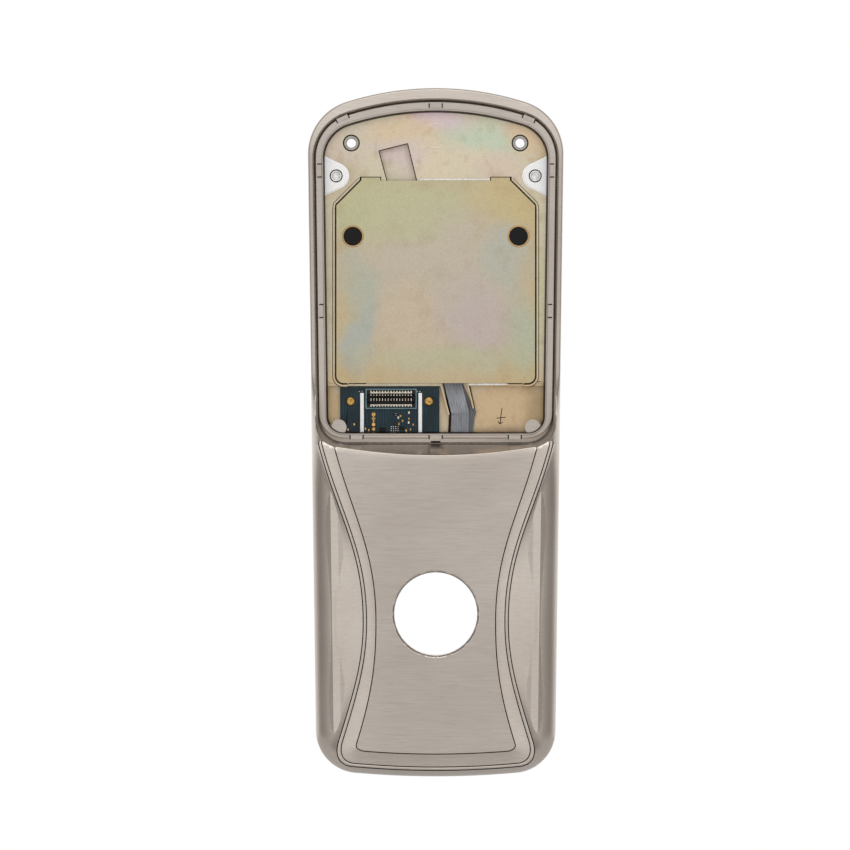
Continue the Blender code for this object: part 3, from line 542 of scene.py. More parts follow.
def roll_rings(bm, outline, chain):
    """Rolls the front over into the side walls, from the outline in towards the chain.

    The chain is the nearest line of the front: the bay's crest, or the outer groove.
    Gives the line where the roll-over starts, as points with their depths.
    """
    steps = 10
    reach = 12            # neighbours to each side that smooth the width of the roll
    margin = 0.00025      # kept free between the roll-over and the chain
    nearest = nearest_finder(chain)
    cheek = raised(CHEEK_DEPTH)
    count = len(outline)
    radii = [RIM_ROLL + (CHEEK_ROLL - RIM_ROLL) * climb(point.y) for point in outline]
    rolls = [min(radius, (nearest(point) - point).length - margin)
             for point, radius in zip(outline, radii)]
    even = [sum(rolls[(i + k) % count] for k in range(-reach, reach + 1)) / (2 * reach + 1)
            for i in range(count)]
    rolls = [min(a, b) for a, b in zip(rolls, even)]
    rows = []
    for k in range(steps + 1):
        row = []
        for i, point in enumerate(outline):
            along = outline[(i + 1) % count] - outline[i - 1]
            inward = Vector((along.y, -along.x)).normalized()
            full = math.acos(max(1 - rolls[i] / radii[i], 0.0))
            angle = full * k / steps
            place = point + inward * radii[i] * (1 - math.cos(angle))
            share = climb(point.y)
            start = (cheek(nearest(point).x * share, point.y) - CHEEK_FALL * share
                     - RIM_FALL * (1 - share))
            low = wall_depth(point.y)
            row.append((place, low + (start - low) * math.sin(angle) / math.sin(full)))
        rows.append(row)
    verts = [[bm.verts.new((p.x, -depth, p.y)) for p, depth in row] for row in rows]
    bridge_all(bm, verts)
    return rows[-1]


class FrontDrawing:
    """Points of the front surface with their depths, and the lines between them."""

    def __init__(self):
        self.points = []
        self.depths = []
        self.lines = []
        self.grooves = set()

    def dots(self, points, depth):
        """Adds points; depth is a function of x and z, or a depth for each. Gives their numbers."""
        first = len(self.points)
        self.points += points
        self.depths += [depth(p.x, p.y) for p in points] if callable(depth) else depth
        return list(range(first, len(self.points)))

    def line(self, points, depth):
        numbers = self.dots(points, depth)
        self.lines += zip(numbers, numbers[1:])
        return numbers

    def ring(self, points, depth):
        numbers = self.line(points, depth)
        self.lines.append((numbers[-1], numbers[0]))


def nearest_finder(points):
    """A function that gives the nearest of the points."""
    tree = kdtree.KDTree(len(points))
    for i, point in enumerate(points):
        tree.insert((point.x, point.y, 0.0), i)
    tree.balance()
    return lambda point: points[tree.find((point.x, point.y, 0.0))[1]]


def draw_front(bm):
    """The lines of the front, from the lever hole out to where it rolls over."""
    drawing = FrontDrawing()
    outline = shell_loop(0.0)
    front_edge = bay_loop(0.0019, 0.0040, 0.0168, SILL_Z, SILL_ARC, 0.0078)
    crest = bay_loop(0.0016, 0.0037, 0.0171, SILL_Z - 0.0003, SILL_ARC, 0.0081)
    drawing.ring(front_edge, lambda x, z: lip_depth(x, z) - CREST_DROP)
    drawing.ring(crest, lip_depth)
    panel = raised(PANEL_DEPTH)
    for beside in (0.0, 0.0006):
        radius = LEVER_HOLE + HOLE_CHAMFER + beside
        drawing.ring(circle(Vector((0.0, 0.0)), radius, HOLE_SIDES), panel)
    half = GROOVE_WIDTH / 2
    frame_line = hourglass(PANEL_LINE, -0.0008)
    drawing.dots([p for p in frame_line if below_sill(p, 0.0024)], panel)
    spacing = 0.002
    drawing.dots([p - Vector((0.0, spacing)) for p in crest
                  if p.y < LINE_TOP_Z and abs(p.x) < 0.0335], panel)
    grid = [Vector((i * spacing, k * spacing)) for i in range(-17, 18) for k in range(-24, 29)]
    drawing.dots([spot for spot in grid if spot.length > LEVER_HOLE + spacing
                  and inside(spot, frame_line) and below_sill(spot, 0.0028)], panel)
    for line, within, without in ((PANEL_LINE, PANEL_DEPTH, PANEL_DEPTH - 0.00003),
                                  (BEAD_LINE, BAND_EDGE_DEPTH, BAND_EDGE_DEPTH),
                                  (OUTER_LINE, BAND_EDGE_DEPTH, CHEEK_DEPTH)):
        clipped = [[p for p in hourglass(line, shift) if below_sill(p)]
                   for shift in (-half, 0.0, half)]
        drawing.line(clipped[0], raised(within))
        floor = raised(min(within, without) - GROOVE_CUT)
        drawing.grooves.update(drawing.line(clipped[1], floor))
        drawing.line(clipped[2], raised(without))
    for line, depth in ((OUTER_LINE, BAND_EDGE_DEPTH + BEAD_RISE),
                        (PANEL_LINE, BAND_MIDDLE_DEPTH)):
        middle = tuple((a + b) / 2 for a, b in zip(line, BEAD_LINE))
        drawing.line([p for p in hourglass(middle) if below_sill(p)], raised(depth))
    chain = [p for p in hourglass(OUTER_LINE, half) if below_sill(p)]
    chain += [p for p in crest if p.y > LINE_TOP_Z]
    roll_start, roll_depths = zip(*roll_rings(bm, outline, chain))
    drawing.ring(roll_start, roll_depths)
    return drawing, outline, roll_start, front_edge


def raised(depth):
    """A depth of the lower body, which sinks to the low rim where the shoulders are."""
    return lambda x, z: RIM_DEPTH + (depth - CROWN * x ** 2 - RIM_DEPTH) * climb(z)


def lip_depth(x, z):
    """Depth of the front edge all round the bay."""
    body = PANEL_DEPTH if abs(x) < PANEL_LINE[0] else BAND_EDGE_DEPTH
    return raised(body - SILL_ROLL)(x, z)


def below_sill(point, margin=0.0):
    """True below the bay's front edge, less the rounding of that edge."""
    rounding = 0.0006
    bay_side = 0.0395
    sill = SILL_Z - rounding - margin + point.x ** 2 / (2 * SILL_ARC)
    return point.y < sill or abs(point.x) > bay_side and point.y < LINE_TOP_Z + 0.0015


def front_skin(bm, drawing, outline, front_edge):
    """Triangles of the front, from the drawing, without the bay and the lever hole."""
    done = geometry.delaunay_2d_cdt(drawing.points, drawing.lines, [], 0, 1e-7)
    points, faces, origins = done[0], done[2], done[3]
    depths = []
    for sources in origins:
        known = [drawing.depths[k] for k in sources]
        depths.append(min(known) if known else None)
    neighbours = {}
    for face in faces:
        for a in face:
            neighbours.setdefault(a, set()).update(face)
    for i, depth in enumerate(depths):
        if depth is None:
            near = [depths[k] for k in neighbours.get(i, ()) if depths[k] is not None]
            depths[i] = sum(near) / len(near) if near else PANEL_DEPTH
    verts = [bm.verts.new((p.x, -d, p.y)) for p, d in zip(points, depths)]
    cut = {i for i in range(len(points)) if drawing.grooves.intersection(origins[i])}
    for face in faces:
        middle = sum((points[k] for k in face), Vector((0.0, 0.0))) / len(face)
        if middle.length < LEVER_HOLE + HOLE_CHAMFER * 0.9:
            continue
        if inside(middle, front_edge) or not inside(middle, outline):
            continue
        made = bm.faces.new([verts[k] for k in face])
        # faces on a groove's floor take finish 1, the painted groove shade
        made.material_index = 1 if cut.intersection(face) else 0


def inside(point, loop):
    """Even-odd test of a point in a closed loop."""
    found = False
    before = loop[-1]
    for here in loop:
        if (here.y > point.y) != (before.y > point.y):
            cross = (before.x - here.x) * (point.y - here.y) / (before.y - here.y) + here.x
            if point.x < cross:
                found = not found
        before = here
    return found


# finish 1 is the painted shade in grooves, finish 2 the painted black shade at the ledge's inner
# edge
STEP_FINISH = {2: 1, 3: 1, 11: 2}     # step of the bay to its finish: 1 groove, 2 shade


def bay_walls(bm, front_edge):
    """From the bay's front edge down the wall, over the groove and ledge, to the window."""
    steps = [
        # inset, drop at the top, corner, bottom, its arc, its corner, depth
        (0.00200, 0.00415, 0.0166, SILL_Z + 0.0002, SILL_ARC, 0.0080, "wall"),
        (0.00228, 0.00445, 0.0163, 0.0598, STRAIGHT, 0.0098, 0.0121),
        (0.00232, 0.00450, 0.0163, 0.0600, STRAIGHT, 0.0096, 0.0104),
        (0.00250, 0.00467, 0.0161, 0.0607, STRAIGHT, 0.0094, 0.0104),
        (0.00268, 0.00485, 0.0159, 0.0620, STRAIGHT, 0.0088, 0.0106),
        (0.00272, 0.00490, 0.0158, 0.0622, STRAIGHT, 0.0086, 0.01185),
        (0.00290, 0.00510, 0.0156, 0.0624, STRAIGHT, 0.0084, 0.0120),
        (0.00480, 0.00735, 0.0133, 0.0631, STRAIGHT, 0.0066, 0.0120),
        (0.00495, 0.00750, 0.0131, 0.0633, STRAIGHT, 0.0064, 0.01225),
        (0.00520, 0.00780, 0.0128, 0.0636, STRAIGHT, 0.0061, 0.01225),
        (0.00534, 0.00800, 0.0127, 0.0638, STRAIGHT, 0.0059, 0.01205),
        (0.00592, 0.00858, 0.0124, 0.06435, STRAIGHT, 0.0056, 0.0086),
    ]
    upper = [bm.verts.new((p.x, CREST_DROP - lip_depth(p.x, p.y), p.y)) for p in front_edge]
    for number, (*shape, depth) in enumerate(steps):
        loop = bay_loop(*shape)
        if depth == "wall":
            lower = [bm.verts.new((p.x, 0.0006 - lip_depth(p.x, p.y), p.y)) for p in loop]
        else:
            lower = ring_verts(bm, loop, depth)
        bridge(bm, upper, lower, material=STEP_FINISH.get(number, 0))
        upper = lower


def outer_walls(bm, outline):
    """The side walls, from the rear lip forward to the roll-over."""
    bridge_all(bm, [ring_verts(bm, shell_loop(0.0012), REAR_DEPTH),
                    ring_verts(bm, shell_loop(0.0003), REAR_DEPTH),
                    ring_verts(bm, outline, REAR_DEPTH + 0.0003),
                    ring_verts(bm, outline, lambda z: wall_depth(z) - 0.004),
                    ring_verts(bm, outline, wall_depth)])


def lever_hole_wall(bm):
    """The hole's chamfer, which follows the front, and its wall down to the collar."""
    centre = Vector((0.0, 0.0))
    edge = circle(centre, LEVER_HOLE + HOLE_CHAMFER, HOLE_SIDES)
    rings = []
    for radius, drop in ((LEVER_HOLE + HOLE_CHAMFER, 0.0), (LEVER_HOLE, HOLE_CHAMFER),
                         (LEVER_HOLE, PANEL_DEPTH - LEVER_COLLAR_DEPTH)):
        rings.append([bm.verts.new((p.x, drop - raised(PANEL_DEPTH)(e.x, e.y), p.y))
                      for p, e in zip(circle(centre, radius, HOLE_SIDES), edge)])
    bridge_all(bm, rings)


def hidden_side(bm):
    """The designed housing's inner and rear faces: all that can't be seen from the front."""
    copy = bmesh.new()
    copy.from_mesh(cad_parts["housing"].data)
    tree = BVHTree.FromBMesh(copy)
    forward = Vector((0.0, -1.0, 0.0))
    within = shell_loop(0.0014)
    rear_lip = REAR_DEPTH + 0.0004
    nudge = 0.00003
    kept = []
    for face in copy.faces:
        centre = face.calc_center_median()
        if not inside(centre.xz, within) and -centre.y > rear_lip:
            continue
        away = centre + face.normal * nudge
        if face.normal.y > 0.5 or tree.ray_cast(away, forward)[0] is not None:
            kept.append([bm.verts.new(v.co) for v in face.verts])
    for verts in kept:
        bm.faces.new(verts)
    copy.free()


def stop_places():
    """(x, z, turn) of the small stops on the ledge."""
    places = [(-0.0281, 0.0625, 0.0), (0.0, 0.0625, 0.0), (0.0281, 0.0625, 0.0),
              (0.0, TOP_Z - 0.0062, 0.0)]
    for side in (-1, 1):
        places += [(side * (side_half_width(z) - 0.0040), z, math.pi / 2)
                   for z in (0.1572, 0.1073)]
        places.append((side * 0.0331, TOP_Z - 0.0108, side * math.radians(24)))
    return places


def ledge_stops(bm):
    """Each stop is a low block with a narrower step on top."""
    for x, z, turn in stop_places():
        block(bm, x, z, STOP_LENGTH, 0.0014, LEDGE_DEPTH - 0.0005, LEDGE_DEPTH + 0.0006, turn)
        block(bm, x, z, 0.0030, 0.0009, LEDGE_DEPTH + 0.0005, LEDGE_DEPTH + 0.0008, turn)


def corner_lugs(bm):
    """Round lobes in the bay's lower corners that the chassis plate is screwed to."""
    radius, rear, front = 0.0028, 0.0048, 0.0096
    for side in (-1, 1):
        x, z = side * 0.0345, 0.0660
        disc(bm, x, z, radius, rear, front, 40)
        disc(bm, x, z, radius - 0.0002, front - 0.0001, front + 0.0002, 40)
        block(bm, x + side * 0.0022, z - 0.0014, 0.0042, 0.0052, rear, front,
              side * math.radians(-45))


def build_housing(material, grooves, shade):
    """The whole housing: a finer outside, with the designed inner and rear faces."""
    bm = bmesh.new()
    drawing, outline, roll_start, front_edge = draw_front(bm)
    front_skin(bm, drawing, roll_start, front_edge)
    bay_walls(bm, front_edge)
    outer_walls(bm, outline)
    lever_hole_wall(bm)
    bmesh.ops.remove_doubles(bm, verts=bm.verts, dist=0.000004)
    for face in bm.faces:
        if face.normal.y > 0.2:
            face.normal_flip()
    hidden_side(bm)
    ledge_stops(bm)
    corner_lugs(bm)
    made = new_object("housing_finish", bm, material, 40.0)
    # the painted groove shade and the painted black shade
    made.data.materials.append(grooves)
    made.data.materials.append(shade)
    made.modifiers.new("normals", "WEIGHTED_NORMAL").keep_sharp = True
    finished(made, "escutcheon", "satin_nickel", "housing")


# --- small visible pieces ------------------------------------------------------------------------

def build_ribbon(material):
    """A flat cable of seven cores, which comes out of the channel and folds once."""
    wires = 7
    width = 0.0062
    thickness = 0.0004
    top = Vector((-0.0092, 0.1420))
    fold = Vector((0.0087, 0.0712))
    end = Vector((0.0083, 0.0447))
    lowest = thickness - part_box("ribbon_cable")[1].y
    stations = [(top.lerp(fold, share), lowest + rise) for share, rise in (
        (0.0, 0.0), (0.5, 0.0), (0.8, 0.0), (0.9, 0.0004), (0.96, 0.0010), (0.99, 0.0015),
        (1.0, 0.0016))]
    stations += [(fold.lerp(end, share), lowest + rise) for share, rise in (
        (0.02, 0.0014), (0.06, 0.0010), (0.2, 0.0006), (0.5, 0.0001), (1.0, 0.0))]
    before = (fold - top).normalized()
    after = (end - fold).normalized()
    directions = [before] * 6 + [(before + after).normalized()] + [after] * 5
    across_steps = wires * 6
    bm = bmesh.new()
    fronts, backs = [], []
    for (place, depth), direction in zip(stations, directions):
        across = Vector((-direction.y, direction.x))
        row_front, row_back = [], []
        for k in range(across_steps + 1):
            u = k / across_steps
            ridge = 0.00022 * abs(math.sin(math.pi * wires * u))
            spot = place + across * (u - 0.5) * width
            row_front.append(bm.verts.new((spot.x, -(depth + ridge), spot.y)))
            row_back.append(bm.verts.new((spot.x, thickness - depth, spot.y)))
        fronts.append(row_front)
        backs.append(row_back)
    bridge_all(bm, fronts, closed=False)
    bridge_all(bm, backs, closed=False)
    for side in (0, -1):
        bridge(bm, [row[side] for row in fronts], [row[side] for row in backs], closed=False)
        bridge(bm, fronts[side], backs[side], closed=False)
    bmesh.ops.recalc_face_normals(bm, faces=bm.faces)
    made = new_object("ribbon_cable_finish", bm, material, 50.0)
    finished(made, "escutcheon", "grey_pvc", "ribbon_cable")


def build_ribbon_fold(material):
    """The under layer of the ribbon, which shows to the right of its fold; its darker grey is
    painted shade.
    """
    bm = bmesh.new()
    depth = -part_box("ribbon_cable")[1].y + 0.0003
    rows = []
    for x, z, width in ((0.0092, 0.0822, 0.0004), (0.0122, 0.0730, 0.0024),
                        (0.0130, 0.0716, 0.0030), (0.0125, 0.0690, 0.0024),
                        (0.0119, 0.0580, 0.0014)):
        across = [(k / 12 - 0.5) * width for k in range(13)]
        ridges = [0.00018 * abs(math.sin(math.pi * k / 4)) for k in range(13)]
        rows.append([bm.verts.new((x + u, -(depth + ridge), z))
                     for u, ridge in zip(across, ridges)])
    bridge_all(bm, rows, closed=False)
    bmesh.ops.recalc_face_normals(bm, faces=bm.faces)
    finished(new_object("ribbon_fold", bm, material), "escutcheon", "grey_pvc")


def build_header(material):
    """The keypad connector: a black body with a row of wells between two ribs."""
    low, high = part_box("board_header")
    bm = bmesh.new()
    rear, front = -high.y, -low.y
    width = high.x - low.x
    height = high.z - low.z
    x = (low.x + high.x) / 2
    z = (low.z + high.z) / 2
    well = front - 0.0009
    block(bm, x, z, width, height, rear, well + 0.0001)
    for offset in (-0.42, 0.42):
        block(bm, x, z + offset * height, width, 0.16 * height, well, front)
    for side in (-1, 1):
        block(bm, x + side * (width / 2 - 0.0004), z, 0.0008, height, well, front)
    for i in range(16):
        block(bm, x + (i - 7.5) * HEADER_PITCH, z, 0.0003, 0.7 * height, well, front - 0.0003)
    made = bevelled(new_object("board_header_finish", bm, material), 0.00006, 1)
    finished(made, "escutcheon", "black_plastic", "board_header")


def build_board_parts(gold, tin, dark):
    """Test pads, small chips and solder beads on the lit part of the board."""
    face = -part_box("controller_board")[0].y
    bm = bmesh.new()
    pad_x, pad_front = -0.0221, face + 0.0001
    for z, radius in ((0.0706, 0.0007), (0.0670, 0.00065), (0.0654, 0.0006)):
        disc(bm, pad_x, z, radius, face, pad_front, 20)
    block(bm, pad_x, 0.0688, 0.0005, 0.0022, face, pad_front)
    block(bm, pad_x, 0.0691, 0.0013, 0.0005, face, pad_front)
    for x, z in ((-0.0125, 0.0700), (-0.0118, 0.0683), (-0.0131, 0.0672), (-0.0095, 0.0690),
                 (-0.0250, 0.0655), (-0.0238, 0.0650), (-0.0105, 0.0648), (-0.0090, 0.0652),
                 (-0.0080, 0.0669), (-0.0150, 0.0641), (-0.0312, 0.0652), (-0.0290, 0.0670)):
        block(bm, x, z, 0.0005, 0.0008, face, face + 0.00012)
    pads = bevelled(new_object("board_pads", bm, gold), 0.00004, 1)
    finished(pads, "escutcheon", "brass")
    bm = bmesh.new()
    for x, z in ((-0.0142, 0.0705), (-0.0095, 0.0712), (-0.0096, 0.0677), (-0.0133, 0.0694)):
        block(bm, x, z, 0.0006, 0.0009, face, face + 0.0004)
    for row in range(3):
        for column in range(4):
            block(bm, -0.0158 + column * 0.0008, 0.0648 + row * 0.0007, 0.0004, 0.0003, face,
                  face + 0.0002)
    low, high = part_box("board_header")
    top = -low.y
    for i in range(15):
        x = (low.x + high.x) / 2 + (i - 7) * HEADER_PITCH
        block(bm, x, low.z + 0.0013, 0.0003, 0.0010, top - 0.0009, top - 0.00025)
        block(bm, x, high.z + 0.0010, 0.0005, 0.0007, face, face + 0.0002)
        block(bm, x, high.z - 0.0003, 0.00036, 0.0005, top - 0.0001, top + 0.00004)
    for side_x in (-0.0267, -0.0061):
        for offset in (-0.0005, 0.0005):
            disc(bm, side_x + offset, 0.0787, 0.0003, face, face + 0.0003, 12, 0.6)
    beads = bevelled(new_object("board_solder", bm, tin), 0.00005, 1)
    finished(beads, "escutcheon", "tinned_copper")
    bm = bmesh.new()
    for x, z, width, height, rise in ((-0.0142, 0.0705, 0.0011, 0.0006, 0.0006),
                                      (-0.0120, 0.0657, 0.0016, 0.0010, 0.0007),
                                      (-0.0190, 0.0652, 0.0022, 0.0014, 0.0008)):
        block(bm, x, z, width, height, face, face + rise)
    chips = bevelled(new_object("board_chips", bm, dark), 0.00005, 1)
    finished(chips, "escutcheon", "black_plastic")


def cover_edge():
    """The left edge of the cover and its border, from the tab down to the lower slot."""
    low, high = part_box("cable_cover")
    top = high.z - COVER_TAB
    chamfer = 0.0088
    corner = 0.0025
    path = [Vector((low.x + chamfer, top)), Vector((low.x, top - chamfer)),
            Vector((low.x, top - chamfer - 0.001)), Vector((low.x, low.z + corner + 0.001))]
    path += arc(Vector((low.x + corner, low.z + corner)), corner, math.pi, 1.5 * math.pi, 8)
    path += [Vector((low.x + corner + 0.0014, low.z))]
    return path


def build_plate_marks(material):
    """The bead pressed round the cover and a stamped ring."""
    bm = bmesh.new()
    for side in (-1, 1):
        path = [Vector((-side * p.x, p.y)) for p in cover_edge()]
        bridge_all(bm, [ring_verts(bm, shifted(path, side * away), PLATE_FACE + rise)
                        for away, rise in ((0.00038, -0.0009), (0.00040, 0.00030),
                                           (0.00062, 0.00052), (0.00118, 0.00052),
                                           (0.00145, 0.00025), (0.00148, -0.0009))],
                   closed=False)
    lathe(bm, Vector((-0.0003, 0.1695)), [(radius, PLATE_FACE + rise) for radius, rise in (
        (0.0040, 0.00001), (0.0043, 0.00010), (0.0046, 0.00001))], 48)
    bmesh.ops.recalc_face_normals(bm, faces=bm.faces)
    finished(new_object("plate_marks", bm, material), "escutcheon", "yellow_chromate")


def strip(bm, begin, end, width, rear, front):
    """A thin straight strip between two (x, z) points."""
    begin, end = Vector(begin), Vector(end)
    along = end - begin
    middle = (begin + end) / 2
    block(bm, middle.x, middle.y, width, along.length, rear, front,
          math.atan2(along.x, along.y))


def build_edge_highlights(material):
    """Pale strips along the plate's cut edges above and below the cover: a painted highlight."""
    bm = bmesh.new()
    low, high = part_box("cable_cover")
    for x, z, length in ((0.0068, high.z - 0.0007, 0.0250), (0.0187, low.z - 0.0004, 0.0136)):
        block(bm, x, z, length, 0.0005, PLATE_FACE - 0.0005, PLATE_FACE + 0.0002)
    finished(new_object("plate_edge_highlights", bm, material), "escutcheon", "zinc_steel")


def flat_ring(bm, node, inner, outer, depth):
    """A ring round a turned piece; inner and outer are added to the piece's radius."""
    centre, radius, _ = turned(node)
    lathe(bm, centre, ((radius + inner, depth), (radius + outer, depth)))


def build_painted_shade(material):
    """Painted shade in black: blocks behind the plate's slots and thin lines round its pressed
    parts, the ledge's stops, the ear pins and the nuts; also the stamped arrow.
    """
    bm = bmesh.new()
    face = PLATE_FACE
    shade_rear, shade_front = 0.0058, 0.0066
    for side in (-1, 1):
        # painted shade: black blocks behind the slots stand in for the dark inside them
        block(bm, side * 0.0232, 0.1540, 0.0090, 0.0040, shade_rear, shade_front)
        block(bm, side * 0.0278, 0.0820, 0.0080, 0.0022, shade_rear, shade_front)
        # painted shadow: a thin black line along each side of the cover
        path = [Vector((-side * p.x, p.y)) for p in cover_edge()]
        rows = [ring_verts(bm, shifted(path, side * across), face + 0.0001)
                for across in (0.00002, 0.0004)]
        bridge(bm, rows[0], rows[1], closed=False)
    # painted shade: black ends on each stop
    for x, z, turn in stop_places():
        for end in (-1, 1):
            reach = end * (STOP_LENGTH / 2 + 0.0001)
            block(bm, x + reach * math.cos(turn), z - reach * math.sin(turn), 0.00042, 0.0015,
                  LEDGE_DEPTH - 0.0005, LEDGE_DEPTH + 0.00065, turn)
    # painted shade: a black bar just below the middle stop
    block(bm, 0.0, 0.0608, 0.0034, 0.0006, 0.0100, 0.0106)
    for side in ("left", "right"):
        ear_face = -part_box("keypad_ear_" + side)[0].y
        # painted shade: black rings round the ear pins and inside the clinch nuts
        flat_ring(bm, "ear_pin_" + side, -0.00003, 0.00028, ear_face + 0.00004)
        flat_ring(bm, "clinch_nut_" + side, -0.00098, -0.00058, face + 0.00005)
    # painted shadow: black lines round the cable channel's recess
    cover_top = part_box("cable_cover")[1].z - COVER_TAB
    channel = [(corner, corner.lerp(foot, (corner.y - cover_top) / (corner.y - foot.y)))
               for corner, foot in zip(CHANNEL_HEAD, CHANNEL_RUN)]
    for begin, end in channel + [CHANNEL_HEAD]:
        strip(bm, begin, end, 0.00032, face - 0.0002, face + 0.00005)
    # painted shadow: a black line along the plate's bend
    strip(bm, (-0.0365, 0.0822), (0.0375, 0.0822), 0.00025, 0.0070, face)
    low = LOW_PLATE_FACE
    # painted shadow: black strips in the gap left of the ribbon and along the channel's right wall
    for begin, end, width, rise in (((0.0030, 0.0820), (0.0052, 0.0712), 0.0011, 0.0010),
                                    ((0.0052, 0.0714), (0.0046, 0.0600), 0.0008, 0.0010),
                                    ((0.0118, 0.0820), (0.0140, 0.0725), 0.0003, 0.0012)):
        strip(bm, begin, end, width, low, low + rise)
    # the mark that shows which way up the plate goes: a plain arrow
    tip = (0.0229, 0.0672)
    for begin, end in (((0.0236, 0.0728), tip), ((0.0217, 0.0692), (0.0249, 0.0696)),
                       (tip, (0.0222, 0.0681)), (tip, (0.0238, 0.0679))):
        strip(bm, begin, end, 0.00028, low, low + 0.00008)
    finished(new_object("plate_painted_shade", bm, material), "escutcheon", "black_rubber")


def build_plug_rings(material):
    """The bright edge of the cover's holes round the black plugs."""
    bm = bmesh.new()
    for node in ("cover_plug_left", "cover_plug_right"):
        centre, radius, face = turned(node)
        lathe(bm, centre, [(radius + wider, face + rise) for wider, rise in (
            (0.00004, -0.0003), (0.00025, 0.00030), (0.00055, 0.00034), (0.00085, -0.0002))])
    bmesh.ops.recalc_face_normals(bm, faces=bm.faces)
    finished(new_object("plug_hole_edges", bm, material), "lift_off_cover", "yellow_chromate")


def build_screw_heads(material):
    """Star recesses and rims on the two board screws."""
    bm = bmesh.new()
    for node in ("board_screw_left", "board_screw_right"):
        centre, radius, face = turned(node)
        for turn in (20, 110):
            block(bm, centre.x, centre.y, 0.0004, radius * 1.1, face - 0.0001, face + 0.00005,
                  math.radians(turn))
        lathe(bm, centre, ((radius * 0.5, face), (radius * 0.62, face + 0.00008),
                           (radius * 0.74, face)), 32)
    bmesh.ops.recalc_face_normals(bm, faces=bm.faces)
    finished(bevelled(new_object("board_screw_recesses", bm, material), 0.00004, 1),
             "escutcheon", "brass")


# --- studio --------------------------------------------------------------------------------------

STUDIO_GLOW = 1.3


def build_studio():
    """A white surround whose glow depends on the direction, and one lamp above the front."""
    scene = bpy.context.scene
    scene.view_settings.view_transform = "Standard"
    world = bpy.data.worlds.new("studio")
    scene.world = world
    world.use_nodes = True
    tree = world.node_tree
    tree.nodes.clear()
    direction = put(tree, "ShaderNodeTexCoord").outputs["Generated"]
    axes = put(tree, "ShaderNodeSeparateXYZ", {"Vector": direction})
    toward = put(tree, "ShaderNodeMapRange", {"Value": axes.outputs["Y"], "From Min": -1.0}
                 ).outputs["Result"]
    glow = ramp(tree, toward, [(0.0, "C8C8C9"), (0.006, "CECECF"), (0.02, "FFFFFF"),
                               (0.04, "FAFAFA"), (0.095, "DCDBDA"), (0.16, "C6C5C4"),
                               (0.3, "A8A7A5"), (0.5, "908E8C"), (0.62, "9C9A98"),
                               (0.8, "E4E4E4"), (1.0, "FFFFFF")])
    soft = put(tree, "ShaderNodeBackground", {"Color": glow, "Strength": STUDIO_GLOW}).outputs[0]
    white = put(tree, "ShaderNodeBackground", {"Color": (1.0, 1.0, 1.0, 1.0), "Strength": 1.0}
                ).outputs[0]
    seen = put(tree, "ShaderNodeLightPath").outputs["Is Camera Ray"]
    both = put(tree, "ShaderNodeMixShader", {0: seen, 1: soft, 2: white}).outputs[0]
    put(tree, "ShaderNodeOutputWorld", {"Surface": both})
    lamp = bpy.data.lights.new("key", "AREA")
    lamp.shape = "DISK"
    lamp.size = 0.9
    lamp.energy = 3.4
    made = bpy.data.objects.new("key", lamp)
    made.location = (0.0, -1.0, 1.1)
    aim = Vector((0.0, 0.0, 0.07)) - made.location
    made.rotation_euler = aim.to_track_quat("-Z", "Y").to_euler()
    scene.collection.objects.link(made)


def build_floor():
    """A plain pale floor, a little under the part."""
    bm = bmesh.new()
    z = cad_box[0][2] - 0.062
    rim = circle(Vector((0.0, 0.0)), 0.6, 64)
    bm.faces.new([bm.verts.new((p.x, p.y, z)) for p in rim])
    made, tree, shader, place = start("painted floor, pale")
    speck = grain(tree, place, 0.004, 3.0, 0.6)
    tree.links.new(ramp(tree, speck, [(0.3, "F1F1F1"), (0.7, "F6F6F6")]),
                   shader.inputs["Base Color"])
    shader.inputs["Roughness"].default_value = 0.8
    new_object("floor", bm, made)


def build_camera():
    """A long lens square to the front, a little left of and above the middle."""
    distance = 3.0
    width = 0.3032
    camera = bpy.data.cameras.new("camera")
    camera.sensor_width = 36.0
    camera.lens = 36.0 * distance / width
    camera.clip_end = 20.0
    made = bpy.data.objects.new("camera", camera)
    made.location = (-0.0038, -distance, 0.0668)
    made.rotation_euler = (math.pi / 2, 0.0, 0.0)
    bpy.context.scene.collection.objects.link(made)
    bpy.context.scene.camera = made


# --- the whole part ------------------------------------------------------------------------------

nickel = satin_nickel()
# painted shade: darker nickel in the grooves, near-black nickel in the gap at the ledge's inner
# edge
groove_shade_nickel = shaded_nickel("satin nickel, painted shade in the grooves", "6A625A", "8A8077")
shade_nickel = shaded_nickel("satin nickel, painted black shade in the gap", "120F0D", "2A2420")
plate_chromate_and_shade = yellow_chromate("yellow chromate on the chassis plate", "CFC6AE", (
    (0.001, 0.176, 0.014, 0.008, "D5C0C6", 0.9), (0.038, 0.168, 0.010, 0.022, "BFA988", 0.9),
    (-0.011, 0.171, 0.016, 0.010, "D9C2A2", 0.7), (0.028, 0.172, 0.010, 0.012, "D6BC9C", 0.8),
    (-0.036, 0.160, 0.012, 0.022, "B9A88E", 0.8), (0.0135, 0.167, 0.018, 0.014, "C2CCB6", 1.0),
    (-0.030, 0.166, 0.018, 0.014, "D0C3B2", 0.8), (0.002, 0.161, 0.024, 0.010, "D9CBB2", 0.8),
    (0.020, 0.158, 0.014, 0.008, "D6C0B0", 0.6), (-0.012, 0.161, 0.010, 0.012, "D2C2BE", 0.8),
    (-0.037, 0.115, 0.008, 0.050, "C2B79E", 0.9), (0.037, 0.115, 0.008, 0.050, "C9C2A2", 0.9),
    # the two dark brown patches low on the right by the sill, A08A6C and A8926F, are painted shade
    (0.024, 0.072, 0.034, 0.020, "CDB491", 1.0), (0.028, 0.060, 0.024, 0.007, "A08A6C", 0.9),
    (0.036, 0.068, 0.006, 0.014, "A8926F", 0.7), (-0.037, 0.074, 0.012, 0.020, "C8B089", 1.0)),
    0.0045, 0.45)
